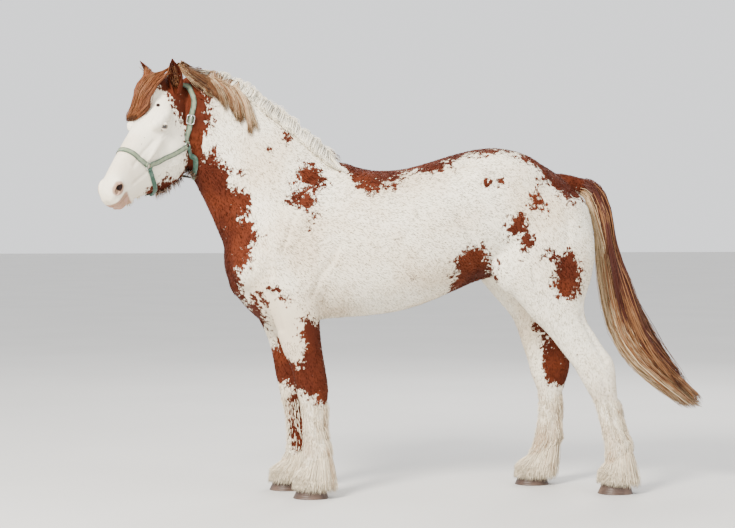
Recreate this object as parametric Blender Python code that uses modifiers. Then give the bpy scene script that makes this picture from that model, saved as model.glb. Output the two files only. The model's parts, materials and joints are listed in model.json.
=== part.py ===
"""A heavy horse standing at rest, life size, with its head turned to its left, wearing a webbing halter.

Metres, +Z up. The horse faces -X and its left side is -Y. The floor is Z = 0 and the four soles stand on it.
The flesh is modelled whole from lofts and muscles, fused, and then parted into named pieces by thin cuts.
Mane, forelock, tail and leg feather are flat, tapered locks that are fused with the piece they grow from.
"""

import math
import random

import bmesh
import bpy
from mathutils import Matrix, Vector
from mathutils.bvhtree import BVHTree

# Gaps and grain
GAP = 0.0004  # free space between pieces that touch
VOXEL = 0.0055  # grain of the fused flesh
FINE_SMOOTHING = 8  # rounds of smoothing all over
BODY_SMOOTHING = 70  # more rounds, on the trunk and neck alone, where broad muscles meet
RING_POINTS = 40  # points round a loft
ROWS_A_SPAN = 4  # rings between two stations of a loft
MARGIN = 0.03  # flesh kept past a cut while a piece is made coarser
FLAT_ANGLE = math.radians(0.5)  # faces that differ by less are one flat face

# Trunk: x, top, bottom, half width, height of the widest point, squareness above, squareness below
TRUNK = (
    (-0.825, 1.205, 1.085, 0.060, 1.150, 2.0, 2.0),
    (-0.790, 1.290, 0.990, 0.135, 1.130, 2.0, 2.0),
    (-0.720, 1.400, 0.895, 0.200, 1.120, 2.0, 2.0),
    (-0.620, 1.490, 0.815, 0.240, 1.130, 1.9, 2.1),
    (-0.500, 1.550, 0.800, 0.255, 1.150, 1.8, 2.2),
    (-0.360, 1.585, 0.835, 0.265, 1.170, 1.7, 2.2),
    (-0.260, 1.597, 0.845, 0.280, 1.180, 1.7, 2.2),
    (-0.180, 1.572, 0.850, 0.292, 1.190, 1.9, 2.2),
    (-0.090, 1.556, 0.858, 0.305, 1.200, 2.0, 2.2),
    (0.030, 1.562, 0.878, 0.318, 1.200, 2.1, 2.2),
    (0.150, 1.592, 0.915, 0.320, 1.220, 2.2, 2.2),
    (0.270, 1.630, 0.965, 0.310, 1.250, 2.2, 2.2),
    (0.380, 1.657, 1.010, 0.298, 1.290, 2.2, 2.1),
    (0.480, 1.667, 1.035, 0.290, 1.310, 2.2, 2.0),
    (0.580, 1.652, 1.020, 0.285, 1.310, 2.2, 2.0),
    (0.680, 1.608, 1.000, 0.270, 1.290, 2.1, 2.0),
    (0.780, 1.550, 1.000, 0.240, 1.270, 2.0, 2.0),
    (0.870, 1.480, 1.020, 0.190, 1.250, 2.0, 2.0),
    (0.930, 1.390, 1.080, 0.120, 1.240, 2.0, 2.0),
    (0.955, 1.300, 1.160, 0.050, 1.230, 2.0, 2.0),
)

# Neck: crest x, y, z, then gullet x, y, z, then half width. The neck bends to the left towards the poll.
NECK = (
    (-0.100, 0.000, 1.500, -0.500, 0.000, 0.980, 0.215),
    (-0.270, 0.000, 1.585, -0.700, 0.000, 0.980, 0.215),
    (-0.420, 0.000, 1.700, -0.800, 0.000, 1.130, 0.185),
    (-0.560, -0.002, 1.803, -0.855, -0.005, 1.260, 0.150),
    (-0.690, -0.012, 1.892, -0.910, -0.015, 1.385, 0.127),
    (-0.810, -0.030, 1.952, -0.962, -0.040, 1.495, 0.113),
    (-0.920, -0.060, 1.970, -1.005, -0.075, 1.590, 0.103),
    (-1.010, -0.095, 1.945, -1.045, -0.110, 1.680, 0.085),
)
NECK_WIDEST = 0.42  # share of the neck's depth, from the gullet up, where it is widest

# Legs: height, left front, left back, right front, right back, distance out from the middle, half width
FORELEGS = (
    (1.200, -0.700, -0.400, -0.720, -0.420, 0.130, 0.110),
    (1.080, -0.705, -0.385, -0.735, -0.405, 0.145, 0.115),
    (0.980, -0.680, -0.375, -0.720, -0.400, 0.152, 0.110),
    (0.900, -0.640, -0.375, -0.685, -0.405, 0.155, 0.100),
    (0.830, -0.602, -0.378, -0.650, -0.412, 0.155, 0.090),
    (0.760, -0.578, -0.374, -0.615, -0.415, 0.154, 0.080),
    (0.690, -0.553, -0.366, -0.592, -0.412, 0.153, 0.070),
    (0.630, -0.522, -0.356, -0.578, -0.408, 0.152, 0.062),
    (0.570, -0.505, -0.346, -0.568, -0.402, 0.151, 0.060),
    (0.520, -0.495, -0.340, -0.556, -0.396, 0.150, 0.064),
    (0.470, -0.482, -0.342, -0.546, -0.400, 0.149, 0.058),
    (0.420, -0.464, -0.350, -0.532, -0.410, 0.148, 0.047),
    (0.350, -0.458, -0.356, -0.518, -0.412, 0.147, 0.040),
    (0.290, -0.457, -0.350, -0.512, -0.405, 0.146, 0.043),
    (0.240, -0.458, -0.338, -0.512, -0.392, 0.146, 0.051),
    (0.200, -0.458, -0.336, -0.514, -0.394, 0.146, 0.050),
    (0.150, -0.464, -0.352, -0.534, -0.422, 0.146, 0.047),
    (0.100, -0.480, -0.342, -0.566, -0.430, 0.146, 0.060),
    (0.050, -0.485, -0.338, -0.575, -0.430, 0.146, 0.064),
)
HINDLEGS = (
    (1.420, 0.500, 0.880, 0.500, 0.880, 0.130, 0.120),
    (1.300, 0.475, 0.925, 0.475, 0.920, 0.150, 0.135),
    (1.180, 0.455, 0.948, 0.455, 0.935, 0.160, 0.140),
    (1.060, 0.455, 0.935, 0.445, 0.905, 0.168, 0.132),
    (0.980, 0.515, 0.912, 0.485, 0.865, 0.172, 0.115),
    (0.910, 0.580, 0.893, 0.545, 0.835, 0.176, 0.098),
    (0.840, 0.640, 0.905, 0.605, 0.835, 0.180, 0.084),
    (0.770, 0.712, 0.945, 0.640, 0.865, 0.182, 0.072),
    (0.700, 0.770, 0.990, 0.663, 0.890, 0.183, 0.062),
    (0.650, 0.810, 1.028, 0.682, 0.905, 0.184, 0.060),
    (0.600, 0.848, 1.043, 0.698, 0.908, 0.184, 0.063),
    (0.545, 0.880, 1.047, 0.712, 0.898, 0.184, 0.062),
    (0.490, 0.912, 1.052, 0.735, 0.880, 0.183, 0.054),
    (0.430, 0.946, 1.062, 0.750, 0.862, 0.182, 0.045),
    (0.350, 0.970, 1.076, 0.750, 0.855, 0.181, 0.042),
    (0.290, 0.984, 1.095, 0.742, 0.855, 0.180, 0.045),
    (0.240, 0.995, 1.118, 0.732, 0.858, 0.180, 0.053),
    (0.200, 1.000, 1.118, 0.722, 0.845, 0.180, 0.051),
    (0.150, 0.998, 1.104, 0.700, 0.812, 0.180, 0.048),
    (0.100, 0.988, 1.122, 0.665, 0.802, 0.180, 0.060),
    (0.050, 0.982, 1.128, 0.650, 0.800, 0.180, 0.064),
)

# Muscles and bony points on both sides: x, distance out, z, half lengths along, across and up, then how far
# it pitches forward and leans out at the top, in degrees
MUSCLES = (
    (-0.500, 0.165, 1.260, 0.115, 0.085, 0.300, 42.0, -10.0),  # shoulder blade
    (-0.455, 0.175, 1.035, 0.130, 0.090, 0.130, 0.0, 0.0),  # triceps
    (-0.715, 0.145, 1.090, 0.085, 0.080, 0.110, 0.0, 0.0),  # point of the shoulder
    (-0.725, 0.070, 1.040, 0.080, 0.085, 0.110, 0.0, 0.0),  # breast
    (0.390, 0.200, 1.500, 0.110, 0.075, 0.080, 0.0, 0.0),  # hip bone
    (0.520, 0.115, 1.500, 0.240, 0.150, 0.155, 12.0, 0.0),  # croup
    (0.690, 0.180, 1.230, 0.220, 0.115, 0.270, 0.0, -8.0),  # thigh
    (0.855, 0.110, 1.220, 0.098, 0.105, 0.240, 0.0, -6.0),  # buttock
    (0.520, 0.190, 1.075, 0.085, 0.080, 0.120, -20.0, 0.0),  # stifle
)

# Head: its own frame starts at the poll, runs forward down the face, and has the forehead on top
POLL = Vector((-1.100, -0.130, 1.932))
HEAD_TURN = math.radians(48.0)
HEAD_PITCH = math.radians(45.0)
# distance from the poll, top, bottom, half width, squareness above, squareness below
HEAD = (
    (-0.070, -0.045, -0.120, 0.040, 2.0, 2.0),
    (-0.040, -0.012, -0.160, 0.066, 2.0, 2.0),
    (0.020, 0.004, -0.200, 0.078, 2.1, 2.0),
    (0.100, 0.016, -0.245, 0.090, 2.3, 2.0),
    (0.180, 0.016, -0.272, 0.092, 2.5, 2.1),
    (0.260, 0.008, -0.262, 0.084, 2.5, 2.1),
    (0.340, 0.001, -0.226, 0.070, 2.5, 2.1),
    (0.420, -0.005, -0.185, 0.059, 2.4, 2.2),
    (0.500, -0.012, -0.158, 0.053, 2.3, 2.3),
    (0.570, -0.021, -0.152, 0.053, 2.2, 2.3),
    (0.630, -0.034, -0.148, 0.054, 2.2, 2.3),
    (0.672, -0.056, -0.140, 0.047, 2.2, 2.2),
    (0.695, -0.085, -0.125, 0.026, 2.0, 2.0),
)
# distance from the poll, distance out, height, half lengths along, across and up, pitch and lean in degrees
HEAD_MUSCLES = (
    (0.205, 0.058, -0.178, 0.105, 0.046, 0.095, 0.0, 0.0),  # cheek
    (0.195, 0.074, -0.038, 0.075, 0.036, 0.042, -6.0, 0.0),  # brow
    (0.275, 0.074, -0.086, 0.120, 0.017, 0.016, 6.0, 0.0),  # facial crest
    (0.625, 0.040, -0.070, 0.050, 0.028, 0.040, 20.0, 0.0),  # wing of the nostril
    (0.655, 0.016, -0.108, 0.042, 0.034, 0.028, -10.0, 0.0),  # upper lip
    (0.628, 0.012, -0.150, 0.048, 0.028, 0.017, 4.0, 0.0),  # lower lip
    (0.580, 0.008, -0.162, 0.040, 0.030, 0.022, 0.0, 0.0),  # chin
)
EYE = (0.212, -0.045)  # distance from the poll, and height
EYE_RADIUS = 0.021
EYE_SUNK = 0.014  # how far the middle of the eyeball lies under the skin
LID_WIDTH = 0.0055
LID_CORNER = 62.0  # degrees from the middle of the eye to its corners
LID_OPEN = 27.0  # degrees from the middle of the eye up to the upper lid, and down to the lower one
NOSTRIL = (0.640, -0.062)
NOSTRIL_SIZE = (0.022, 0.016, 0.011)
MOUTH_LEVEL = -0.124
MOUTH_CORNER = 0.590  # distance from the poll
MOUTH_DEPTH = 0.007
MOUTH_GAP = 0.0024
EAR_ROOT = (-0.004, 0.066, -0.030)
EAR_TIP = (-0.098, 0.104, 0.140)
# share of the ear's length, half width, depth, how far the rim wraps round the front in degrees
EAR = (
    (0.00, 0.024, 0.026, 168.0),
    (0.18, 0.028, 0.027, 168.0),
    (0.36, 0.031, 0.024, 138.0),
    (0.56, 0.030, 0.019, 116.0),
    (0.76, 0.021, 0.012, 102.0),
    (0.92, 0.009, 0.006, 93.0),
    (1.00, 0.002, 0.002, 90.0),
)
EAR_SKIN = 0.0035

# Where the flesh is parted: a point on the plane, and the way it faces
THROAT_CUT = (Vector((-0.950, -0.170, 1.800)), Vector((-0.800, -0.600, 0.000)))
SHOULDER_CUT = (Vector((-0.500, 0.000, 1.330)), Vector((-0.678, 0.000, 0.735)).normalized())
LOIN_CUT = (Vector((0.400, 0.000, 1.300)), Vector((0.960, 0.000, -0.280)).normalized())
FOREARM_TOP = 0.790
KNEE_TOP = 0.590
THIGH_BOTTOM = 0.930
HOCK_TOP = 0.690
CORONET_FRONT = 0.088
CORONET_BACK = 0.050

# Triangles of each piece of flesh, before its locks and details
BUDGET = {
    "head": 1700, "neck": 560, "torso": 820, "hindquarters": 820,
    "foreleg_upper": 150, "foreleg_lower": 280, "hindleg_upper": 150, "hindleg_lower": 300,
}

# Hooves: where each toe is, then sizes that all four share
TOES = {
    ("fore", "left"): (-0.507, -0.146), ("fore", "right"): (-0.598, 0.146),
    ("hind", "left"): (0.962, -0.180), ("hind", "right"): (0.630, 0.180),
}
HOOF_LENGTH = 0.168
HOOF_HALF_WIDTH = 0.078
CORONET_HALF_WIDTH = 0.064
TOE_SLOPE = 0.042  # how far the toe leans back from the sole to the coronet
HEEL_SLOPE = 0.016
HOOF_POINTS = 20

# Dock of the tail: where it is cut from the croup, and the stations behind the cut
DOCK_CUT = 0.905
# x, z, half depth, half width, turn of the section in degrees
DOCK_STUB = (
    (0.800, 1.500, 0.050, 0.048, 0.0),
    (0.860, 1.492, 0.048, 0.046, 4.0),
    (0.930, 1.478, 0.044, 0.042, 10.0),
)
TAIL = (
    (0.9055, 1.486, 0.047, 0.045, 0.0),
    (0.955, 1.470, 0.048, 0.050, 30.0),
    (0.995, 1.400, 0.050, 0.056, 62.0),
    (1.022, 1.300, 0.050, 0.060, 76.0),
    (1.045, 1.180, 0.052, 0.062, 78.0),
    (1.072, 1.050, 0.062, 0.066, 77.0),
    (1.102, 0.920, 0.070, 0.068, 74.0),
    (1.145, 0.790, 0.074, 0.068, 66.0),
    (1.215, 0.675, 0.070, 0.064, 53.0),
    (1.315, 0.570, 0.056, 0.056, 44.0),
    (1.415, 0.475, 0.038, 0.042, 43.0),
    (1.475, 0.415, 0.020, 0.024, 44.0),
    (1.500, 0.390, 0.004, 0.005, 45.0),
)

# Locks. Each is flat, and widest a little below its root.
LOCK_WIDTHS = (0.55, 1.0, 0.92, 0.74, 0.44)  # shares of the full width from the root to just above the tip
ROOT_DEPTH = 0.016  # how far a lock's root is sunk
TIER = 0.015  # how far an outer lock stands off the inner ones that it lies over

# Mane. Shares run along the crest from the withers to the poll. The front half is long and lies back over the
# left side of the neck, and the rest is a short growth that stands out.
LONG_MANE = (0.60, 0.955)
LONG_LOCKS = 12
LONG_LENGTH = (0.30, 0.42)
LONG_WIDTH = 0.056
SHORT_MANE = (0.185, 0.66)
SHORT_LOCKS = 15
SHORT_LENGTH = (0.11, 0.17)
SHORT_WIDTH = 0.050
RIGHT_LOCKS = 6  # locks that fall over the right side instead
MANE_THICKNESS = 0.011

# Forelock: how far it reaches down the face and to the right, and how its locks fan out
FORELOCK_LOCKS = 7
FORELOCK_ROOT = (0.010, 0.000, -0.004)
FORELOCK_SPREAD = 0.034  # half width of the row of roots
FORELOCK_TIP = (0.235, -0.075, 0.000)
FORELOCK_INNER_TIP = (0.135, 0.040, 0.010)
FORELOCK_WIDTH = 0.046
FORELOCK_THICKNESS = 0.011
FORELOCK_SPANS = 3

# Tail: locks follow its bend, and the core stops half way
TAIL_CORE_END = 7  # stations of the tail that the core takes in
TAIL_CORE_SHARE = 0.62
TAIL_LOCKS = (5, 9)  # inner ones, and outer ones that lie over them
TAIL_DEPTHS = (0.60, 0.95)  # shares of the tail's half width at which they lie
TAIL_WIDTH = 0.062
TAIL_THICKNESS = 0.016
TAIL_SPANS = 5
TAIL_STARTS = (0.07, 0.42)  # shares of the tail's length where the first and the last lock start
TAIL_ENDS = (0.74, 1.0)

# Feather. Locks stand round the pastern and cover the hoof, and two more hang behind the cannon. Each pair of
# values is for the front of the leg and for its back.
FEATHER_LOCKS = 9
FEATHER_ROOTS = (0.150, 0.250)  # heights
FEATHER_REACH = (0.020, 0.046)  # how far the tips stand out past the hoof
FEATHER_TIPS = {  # height of the tips above the floor
    ("fore", "left"): (0.028, 0.014), ("fore", "right"): (0.028, 0.014),
    ("hind", "left"): (0.060, 0.020), ("hind", "right"): (0.030, 0.014),
}
FEATHER_WIDTH = 0.078
FEATHER_THICKNESS = 0.012
FEATHER_SPANS = 3
CANNON_LOCKS = 2
CANNON_TURN = 162.0  # degrees from the front to each
CANNON_ROOT = 0.325
CANNON_TIP = 0.085
HOOF_CLEARANCE = 0.0012

# Halter: webbing, hardware, and places on the head as distance from the poll, to the left, height
STRAP_WIDTH = 0.025
STRAP_THICKNESS = 0.0028
STRAP_CLEARANCE = 0.0022
RING_RADIUS = 0.0165
RING_WIRE = 0.0028
RING_STANDOFF = 0.0035
RING_SIDES = 8
BUCKLE_SIZE = (0.020, 0.0175)  # half lengths along the strap and across it
SIDE_RING = (0.405, 0.075, -0.122)
UPPER_RING = (0.170, 0.105, -0.212)
CHIN_RING = (0.455, 0.000, -0.262)
BUCKLE = (0.080, 0.120, -0.130)
NOSEBAND = ((0.418, 0.085, -0.070), (0.424, 0.070, 0.000), (0.428, 0.000, 0.030))
CHEEK_STRAP = ((0.290, 0.100, -0.170),)
CROWN_STRAP = ((0.080, 0.120, -0.130), (-0.005, 0.115, -0.085), (-0.046, 0.085, -0.020), (-0.050, 0.000, 0.030))
THROAT_STRAP = ((0.175, 0.070, -0.290), (0.180, 0.000, -0.320))
CHIN_STRAP = ((0.428, 0.072, -0.185), (0.446, 0.040, -0.236))

# Colours: red, green, blue, then roughness and metallic
FINISHES = {
    "coat": ((0.86, 0.83, 0.78), 0.75, 0.0),
    "red_coat": ((0.36, 0.13, 0.07), 0.70, 0.0),
    "flaxen_hair": ((0.62, 0.45, 0.30), 0.60, 0.0),
    "horn": ((0.33, 0.24, 0.20), 0.55, 0.0),
    "eye": ((0.05, 0.04, 0.05), 0.10, 0.0),
    "webbing": ((0.16, 0.32, 0.24), 0.80, 0.0),
    "hardware": ((0.70, 0.70, 0.68), 0.30, 1.0),
}
SHARP_ANGLE = math.radians(50.0)

SIDES = {"left": -1, "right": 1}
SEED = 16


def clear_scene():
    for obj in list(bpy.data.objects):
        bpy.data.objects.remove(obj, do_unlink=True)


def collection_of(name):
    """The collection with this name, made if it isn't there."""
    found = bpy.data.collections.get(name)
    if found is None:
        found = bpy.data.collections.new(name)
        bpy.context.scene.collection.children.link(found)
    return found


# Meshes

def object_from(name, shape):
    """A new object that takes a bmesh's shape, and frees the bmesh."""
    mesh = bpy.data.meshes.new(name)
    bmesh.ops.recalc_face_normals(shape, faces=shape.faces)
    shape.to_mesh(mesh)
    shape.free()
    obj = bpy.data.objects.new(name, mesh)
    collection_of("heavy_horse").objects.link(obj)
    return obj


def bmesh_of(obj):
    shape = bmesh.new()
    shape.from_mesh(obj.data)
    return shape


def settle(obj):
    """Applies the object's modifiers."""
    graph = bpy.context.evaluated_depsgraph_get()
    mesh = bpy.data.meshes.new_from_object(obj.evaluated_get(graph))
    obj.modifiers.clear()
    old, obj.data = obj.data, mesh
    bpy.data.meshes.remove(old)
    return obj


def discard(*objects):
    for obj in objects:
        mesh = obj.data
        bpy.data.objects.remove(obj, do_unlink=True)
        bpy.data.meshes.remove(mesh)


def keep_largest(shape):
    """Keeps the closed surface with the most faces."""
    left, groups = set(shape.faces), []
    while left:
        first = left.pop()
        group, todo = {first}, [first]
        while todo:
            face = todo.pop()
            near = {f for edge in face.edges for f in edge.link_faces} & left
            left -= near
            group |= near
            todo.extend(near)
        groups.append(group)
    largest = max(groups, key=len)
    loose = [face for group in groups if group is not largest for face in group]
    bmesh.ops.delete(shape, geom=loose, context="FACES")


def combine(obj, operation, *others, solver="EXACT"):
    """Joins others to obj, or cuts it with them, and removes them."""
    for other in others:
        collection_of("cutters").objects.link(other)
    modifier = obj.modifiers.new("combine", "BOOLEAN")
    modifier.operation = operation
    modifier.solver = solver
    modifier.operand_type = "COLLECTION"
    modifier.collection = collection_of("cutters")
    settle(obj)
    discard(*others)
    shape = bmesh_of(obj)
    keep_largest(shape)
    bmesh.ops.triangulate(shape, faces=shape.faces)
    shape.to_mesh(obj.data)
    shape.free()
    return obj


def merge_flat(obj):
    """Joins the slivers that a union leaves on one flat face."""
    shape = bmesh_of(obj)
    bmesh.ops.dissolve_limit(shape, angle_limit=FLAT_ANGLE, verts=shape.verts, edges=shape.edges)
    bmesh.ops.triangulate(shape, faces=shape.faces)
    shape.to_mesh(obj.data)
    shape.free()


def swollen(source, distance):
    """A copy of source that is larger all round by distance."""
    copy = bpy.data.objects.new("swollen", source.data.copy())
    collection_of("heavy_horse").objects.link(copy)
    swell = copy.modifiers.new("swell", "DISPLACE")
    swell.strength = distance
    swell.mid_level = 0.0
    return settle(copy)


def tree_of(obj, frame=None):
    """The object's surface, in frame's axes if one is given, for finding places on it."""
    shape = bmesh_of(obj)
    if frame is not None:
        bmesh.ops.transform(shape, matrix=frame.inverted(), verts=shape.verts)
    tree = BVHTree.FromBMesh(shape)
    shape.free()
    return tree


def in_between(rows, steps):
    """The rows with steps rows a span, on a smooth curve through them."""
    made = []
    for i in range(len(rows) - 1):
        before, start = rows[max(i - 1, 0)], rows[i]
        end, after = rows[i + 1], rows[min(i + 2, len(rows) - 1)]
        for k in range(steps):
            t = k / steps
            made.append(tuple(
                0.5 * (2 * b + (c - a) * t + (2 * a - 5 * b + 4 * c - d) * t**2 + (3 * b - a - 3 * c + d) * t**3)
                for a, b, c, d in zip(before, start, end, after)
            ))
    made.append(tuple(rows[-1]))
    return made


def oval(up, down, half_width, above=2.0, below=2.0, points=RING_POINTS):
    """Points (sideways, upwards) of an egg-shaped ring round its widest line."""
    made = []
    for i in range(points):
        turn = math.tau * i / points
        c, s = math.cos(turn), math.sin(turn)
        power = 2.0 / (above if s > 0 else below)
        sideways = half_width * math.copysign(abs(c) ** power, c)
        upwards = (up if s > 0 else down) * math.copysign(abs(s) ** power, s)
        made.append((sideways, upwards))
    return made


def add_loft(shape, rings, ends=True):
    """A skin through rings that have the same number of points, closed at its ends or joined into a hoop."""
    rows = [[shape.verts.new(point) for point in ring] for ring in rings]
    count = len(rows[0])
    pairs = list(zip(rows, rows[1:]))
    if not ends:
        pairs.append((rows[-1], rows[0]))
    for low, high in pairs:
        for i in range(count):
            j = (i + 1) % count
            shape.faces.new((low[i], low[j], high[j], high[i]))
    if ends:
        shape.faces.new(reversed(rows[0]))
        shape.faces.new(rows[-1])


def loft_object(name, rings, ends=True):
    shape = bmesh.new()
    add_loft(shape, rings, ends)
    bmesh.ops.triangulate(shape, faces=shape.faces)
    return object_from(name, shape)


def bend(points, count):
    """Count points, evenly along the smooth curve through points."""
    fine = [Vector(row) for row in in_between([tuple(point) for point in points], 8)]
    lengths = [0.0]
    for a, b in zip(fine, fine[1:]):
        lengths.append(lengths[-1] + (b - a).length)
    made = []
    for i in range(count):
        want = lengths[-1] * i / (count - 1)
        j = next((j for j in range(1, len(fine)) if lengths[j] >= want - 1e-9), len(fine) - 1)
        made.append(fine[j - 1].lerp(fine[j], (want - lengths[j - 1]) / (lengths[j] - lengths[j - 1])))
    return made


def lock(path, facing, width, thickness):
    """A flat lock of hair along path, that tapers to a point. A low ridge runs down the side towards facing."""
    shape = bmesh.new()
    rows = []
    for i, point in enumerate(path[:-1]):
        along = (path[i + 1] - path[max(i - 1, 0)]).normalized()
        across = along.cross(facing).normalized()
        upward = across.cross(along).normalized()
        place = i / (len(path) - 1) * (len(LOCK_WIDTHS) - 1)
        low = min(int(place), len(LOCK_WIDTHS) - 2)
        share = LOCK_WIDTHS[low] + (LOCK_WIDTHS[low + 1] - LOCK_WIDTHS[low]) * (place - low)
        half_width, half_thick = width * share / 2, thickness * (0.4 + 0.6 * share)
        corners = (across * half_width, upward * half_thick, -across * half_width)
        rows.append([shape.verts.new(point + corner) for corner in corners])
    tip = shape.verts.new(path[-1])
    for row, after in zip(rows, rows[1:]):
        for i in range(3):
            shape.faces.new((row[i], row[(i + 1) % 3], after[(i + 1) % 3], after[i]))
    for i in range(3):
        shape.faces.new((rows[-1][i], rows[-1][(i + 1) % 3], tip))
    shape.faces.new(reversed(rows[0]))
    bmesh.ops.triangulate(shape, faces=shape.faces)
    return object_from("lock", shape)


def add_muscle(shape, row, frame):
    """An ellipsoid on each side of the middle plane of frame."""
    along, out, height, half_long, half_wide, half_high, pitch, lean = row
    for side in (-1, 1):
        place = (
            frame
            @ Matrix.Translation((along, side * out, height))
            @ Matrix.Rotation(math.radians(-side * lean), 4, "X")
            @ Matrix.Rotation(math.radians(pitch), 4, "Y")
            @ Matrix.Diagonal((half_long, half_wide, half_high, 1.0))
        )
        bmesh.ops.create_uvsphere(shape, u_segments=28, v_segments=18, radius=1.0, matrix=place)


# Flesh

def add_trunk(shape):
    rings = []
    for x, top, bottom, half_width, widest, above, below in in_between(TRUNK, ROWS_A_SPAN):
        ring = oval(top - widest, widest - bottom, half_width, above, below)
        rings.append([Vector((x, sideways, widest + up)) for sideways, up in ring])
    add_loft(shape, rings)


def add_neck(shape):
    rows = in_between(NECK, ROWS_A_SPAN)
    rings = []
    for i, row in enumerate(rows):
        crest, gullet, half_width = Vector(row[0:3]), Vector(row[3:6]), row[6]
        near, far = rows[max(i - 1, 0)], rows[min(i + 1, len(rows) - 1)]
        forward = Vector(far[0:3]) + Vector(far[3:6]) - Vector(near[0:3]) - Vector(near[3:6])
        rise = crest - gullet
        side = rise.cross(forward).normalized()
        middle = gullet + rise * NECK_WIDEST
        ring = oval(1 - NECK_WIDEST, NECK_WIDEST, half_width, 1.75, 2.1)
        rings.append([middle + side * sideways + rise * up for sideways, up in ring])
    add_loft(shape, rings)


def leg_middle(rows, side, height):
    """Front, back, distance out and half width of a leg at a height."""
    for high, low in zip(rows, rows[1:]):
        if low[0] <= height <= high[0]:
            t = (height - low[0]) / (high[0] - low[0])
            row = [b + (a - b) * t for a, b in zip(high, low)]
            break
    else:
        row = rows[-1]
    front, back = row[1:3] if side == "left" else row[3:5]
    return front, back, SIDES[side] * row[5], row[6]


def add_leg(shape, rows, side):
    rings = []
    for row in in_between(rows, ROWS_A_SPAN):
        height, out, half_width = row[0], row[5], row[6]
        front, back = row[1:3] if side == "left" else row[3:5]
        middle, half = (front + back) / 2, (back - front) / 2
        ring = oval(half, half, half_width, 2.2, 2.0)
        rings.append([Vector((middle - up, SIDES[side] * out + sideways, height)) for sideways, up in ring])
    add_loft(shape, rings)


def tail_rings(rows, steps, points):
    rings = []
    for x, z, half_depth, half_width, turn in in_between(rows, steps):
        angle = math.radians(turn)
        across = Vector((math.sin(angle), 0.0, math.cos(angle)))
        ring = oval(half_depth, half_depth, half_width, points=points)
        rings.append([Vector((x, sideways, z)) + across * up for sideways, up in ring])
    return rings


def head_frame():
    """The head's own axes: X runs from the poll to the muzzle, Y to the left, Z out of the forehead."""
    turn, pitch = HEAD_TURN, HEAD_PITCH
    forward = Vector((-math.cos(turn) * math.cos(pitch), -math.sin(turn) * math.cos(pitch), -math.sin(pitch)))
    left = Vector((math.sin(turn), -math.cos(turn), 0.0))
    upward = forward.cross(left)
    frame = Matrix((forward, left, upward)).transposed().to_4x4()
    frame.translation = POLL
    return frame


def add_head(shape, frame):
    rings = []
    for along, top, bottom, half_width, above, below in in_between(HEAD, ROWS_A_SPAN):
        middle = (top + bottom) / 2 + 0.02
        ring = oval(top - middle, middle - bottom, half_width, above, below)
        rings.append([frame @ Vector((along, sideways, middle + up)) for sideways, up in ring])
    add_loft(shape, rings)
    for row in HEAD_MUSCLES:
        add_muscle(shape, row, frame)


def ease(value, low, high):
    t = min(max((value - low) / (high - low), 0.0), 1.0)
    return t * t * (3 - 2 * t)


def soften(obj, group, rounds):
    smooth = obj.modifiers.new("soften", "SMOOTH")
    smooth.factor = 0.5
    smooth.iterations = rounds
    smooth.vertex_group = group
    settle(obj)


def fused_flesh():
    """The whole body as one smooth skin."""
    shape = bmesh.new()
    add_trunk(shape)
    add_neck(shape)
    for side in SIDES:
        add_leg(shape, FORELEGS, side)
        add_leg(shape, HINDLEGS, side)
    for row in MUSCLES:
        add_muscle(shape, row, Matrix.Identity(4))
    add_loft(shape, tail_rings(DOCK_STUB, ROWS_A_SPAN, RING_POINTS))
    add_head(shape, head_frame())
    flesh = object_from("flesh", shape)
    remesh = flesh.modifiers.new("fuse", "REMESH")
    remesh.mode = "VOXEL"
    remesh.voxel_size = VOXEL
    settle(flesh)
    body = flesh.vertex_groups.new(name="body")
    for vertex in flesh.data.vertices:
        x, _, z = vertex.co
        body.add([vertex.index], ease(z, 0.70, 0.98) * ease(x, -0.98, -0.86), "REPLACE")
    soften(flesh, "", FINE_SMOOTHING)
    soften(flesh, "body", BODY_SMOOTHING)
    return flesh


def trim(shape, point, facing, gap=0.0):
    """Cuts away what lies past the plane, and closes the cut."""
    bmesh.ops.bisect_plane(
        shape, geom=shape.verts[:] + shape.edges[:] + shape.faces[:],
        plane_co=point - facing * gap, plane_no=facing, clear_outer=True,
    )
    rim = [edge for edge in shape.edges if edge.is_boundary]
    bmesh.ops.holes_fill(shape, edges=rim, sides=0)


def cut_to(obj, planes):
    """Cuts an object back to what lies inside planes, less half a gap."""
    shape = bmesh_of(obj)
    for point, facing in planes:
        trim(shape, point, facing, GAP / 2)
    keep_largest(shape)
    bmesh.ops.triangulate(shape, faces=shape.faces)
    shape.to_mesh(obj.data)
    shape.free()
    return obj


def flesh_piece(name, source, triangles, planes):
    """A named piece of the flesh, inside planes, made coarser to its number of triangles."""
    shape = bmesh_of(source)
    for point, facing in planes:
        trim(shape, point + facing * MARGIN, facing)
    bmesh.ops.triangulate(shape, faces=shape.faces)
    obj = object_from(name, shape)
    coarser = obj.modifiers.new("coarser", "DECIMATE")
    coarser.ratio = min(1.0, triangles / len(obj.data.polygons))
    settle(obj)
    return cut_to(obj, planes)


def facing_away(cut):
    return cut[0], -cut[1]


def below(height):
    return Vector((0, 0, height)), Vector((0, 0, 1))


def above(height):
    return Vector((0, 0, height)), Vector((0, 0, -1))


def on_side(side):
    """The middle plane, which keeps one side of the body."""
    return Vector((0, 0, 0)), Vector((0, -SIDES[side], 0))


def behind(x):
    """Keeps what lies behind x."""
    return Vector((x, 0, 0)), Vector((-1, 0, 0))


def ahead(x):
    return Vector((x, 0, 0)), Vector((1, 0, 0))


def coronet(toe_x):
    """The sloping plane where a hoof meets its leg. It faces down."""
    slope = math.atan2(CORONET_FRONT - CORONET_BACK, HOOF_LENGTH)
    point = Vector((toe_x + TOE_SLOPE, 0, CORONET_FRONT))
    return point, Vector((-math.sin(slope), 0, -math.cos(slope)))


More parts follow.
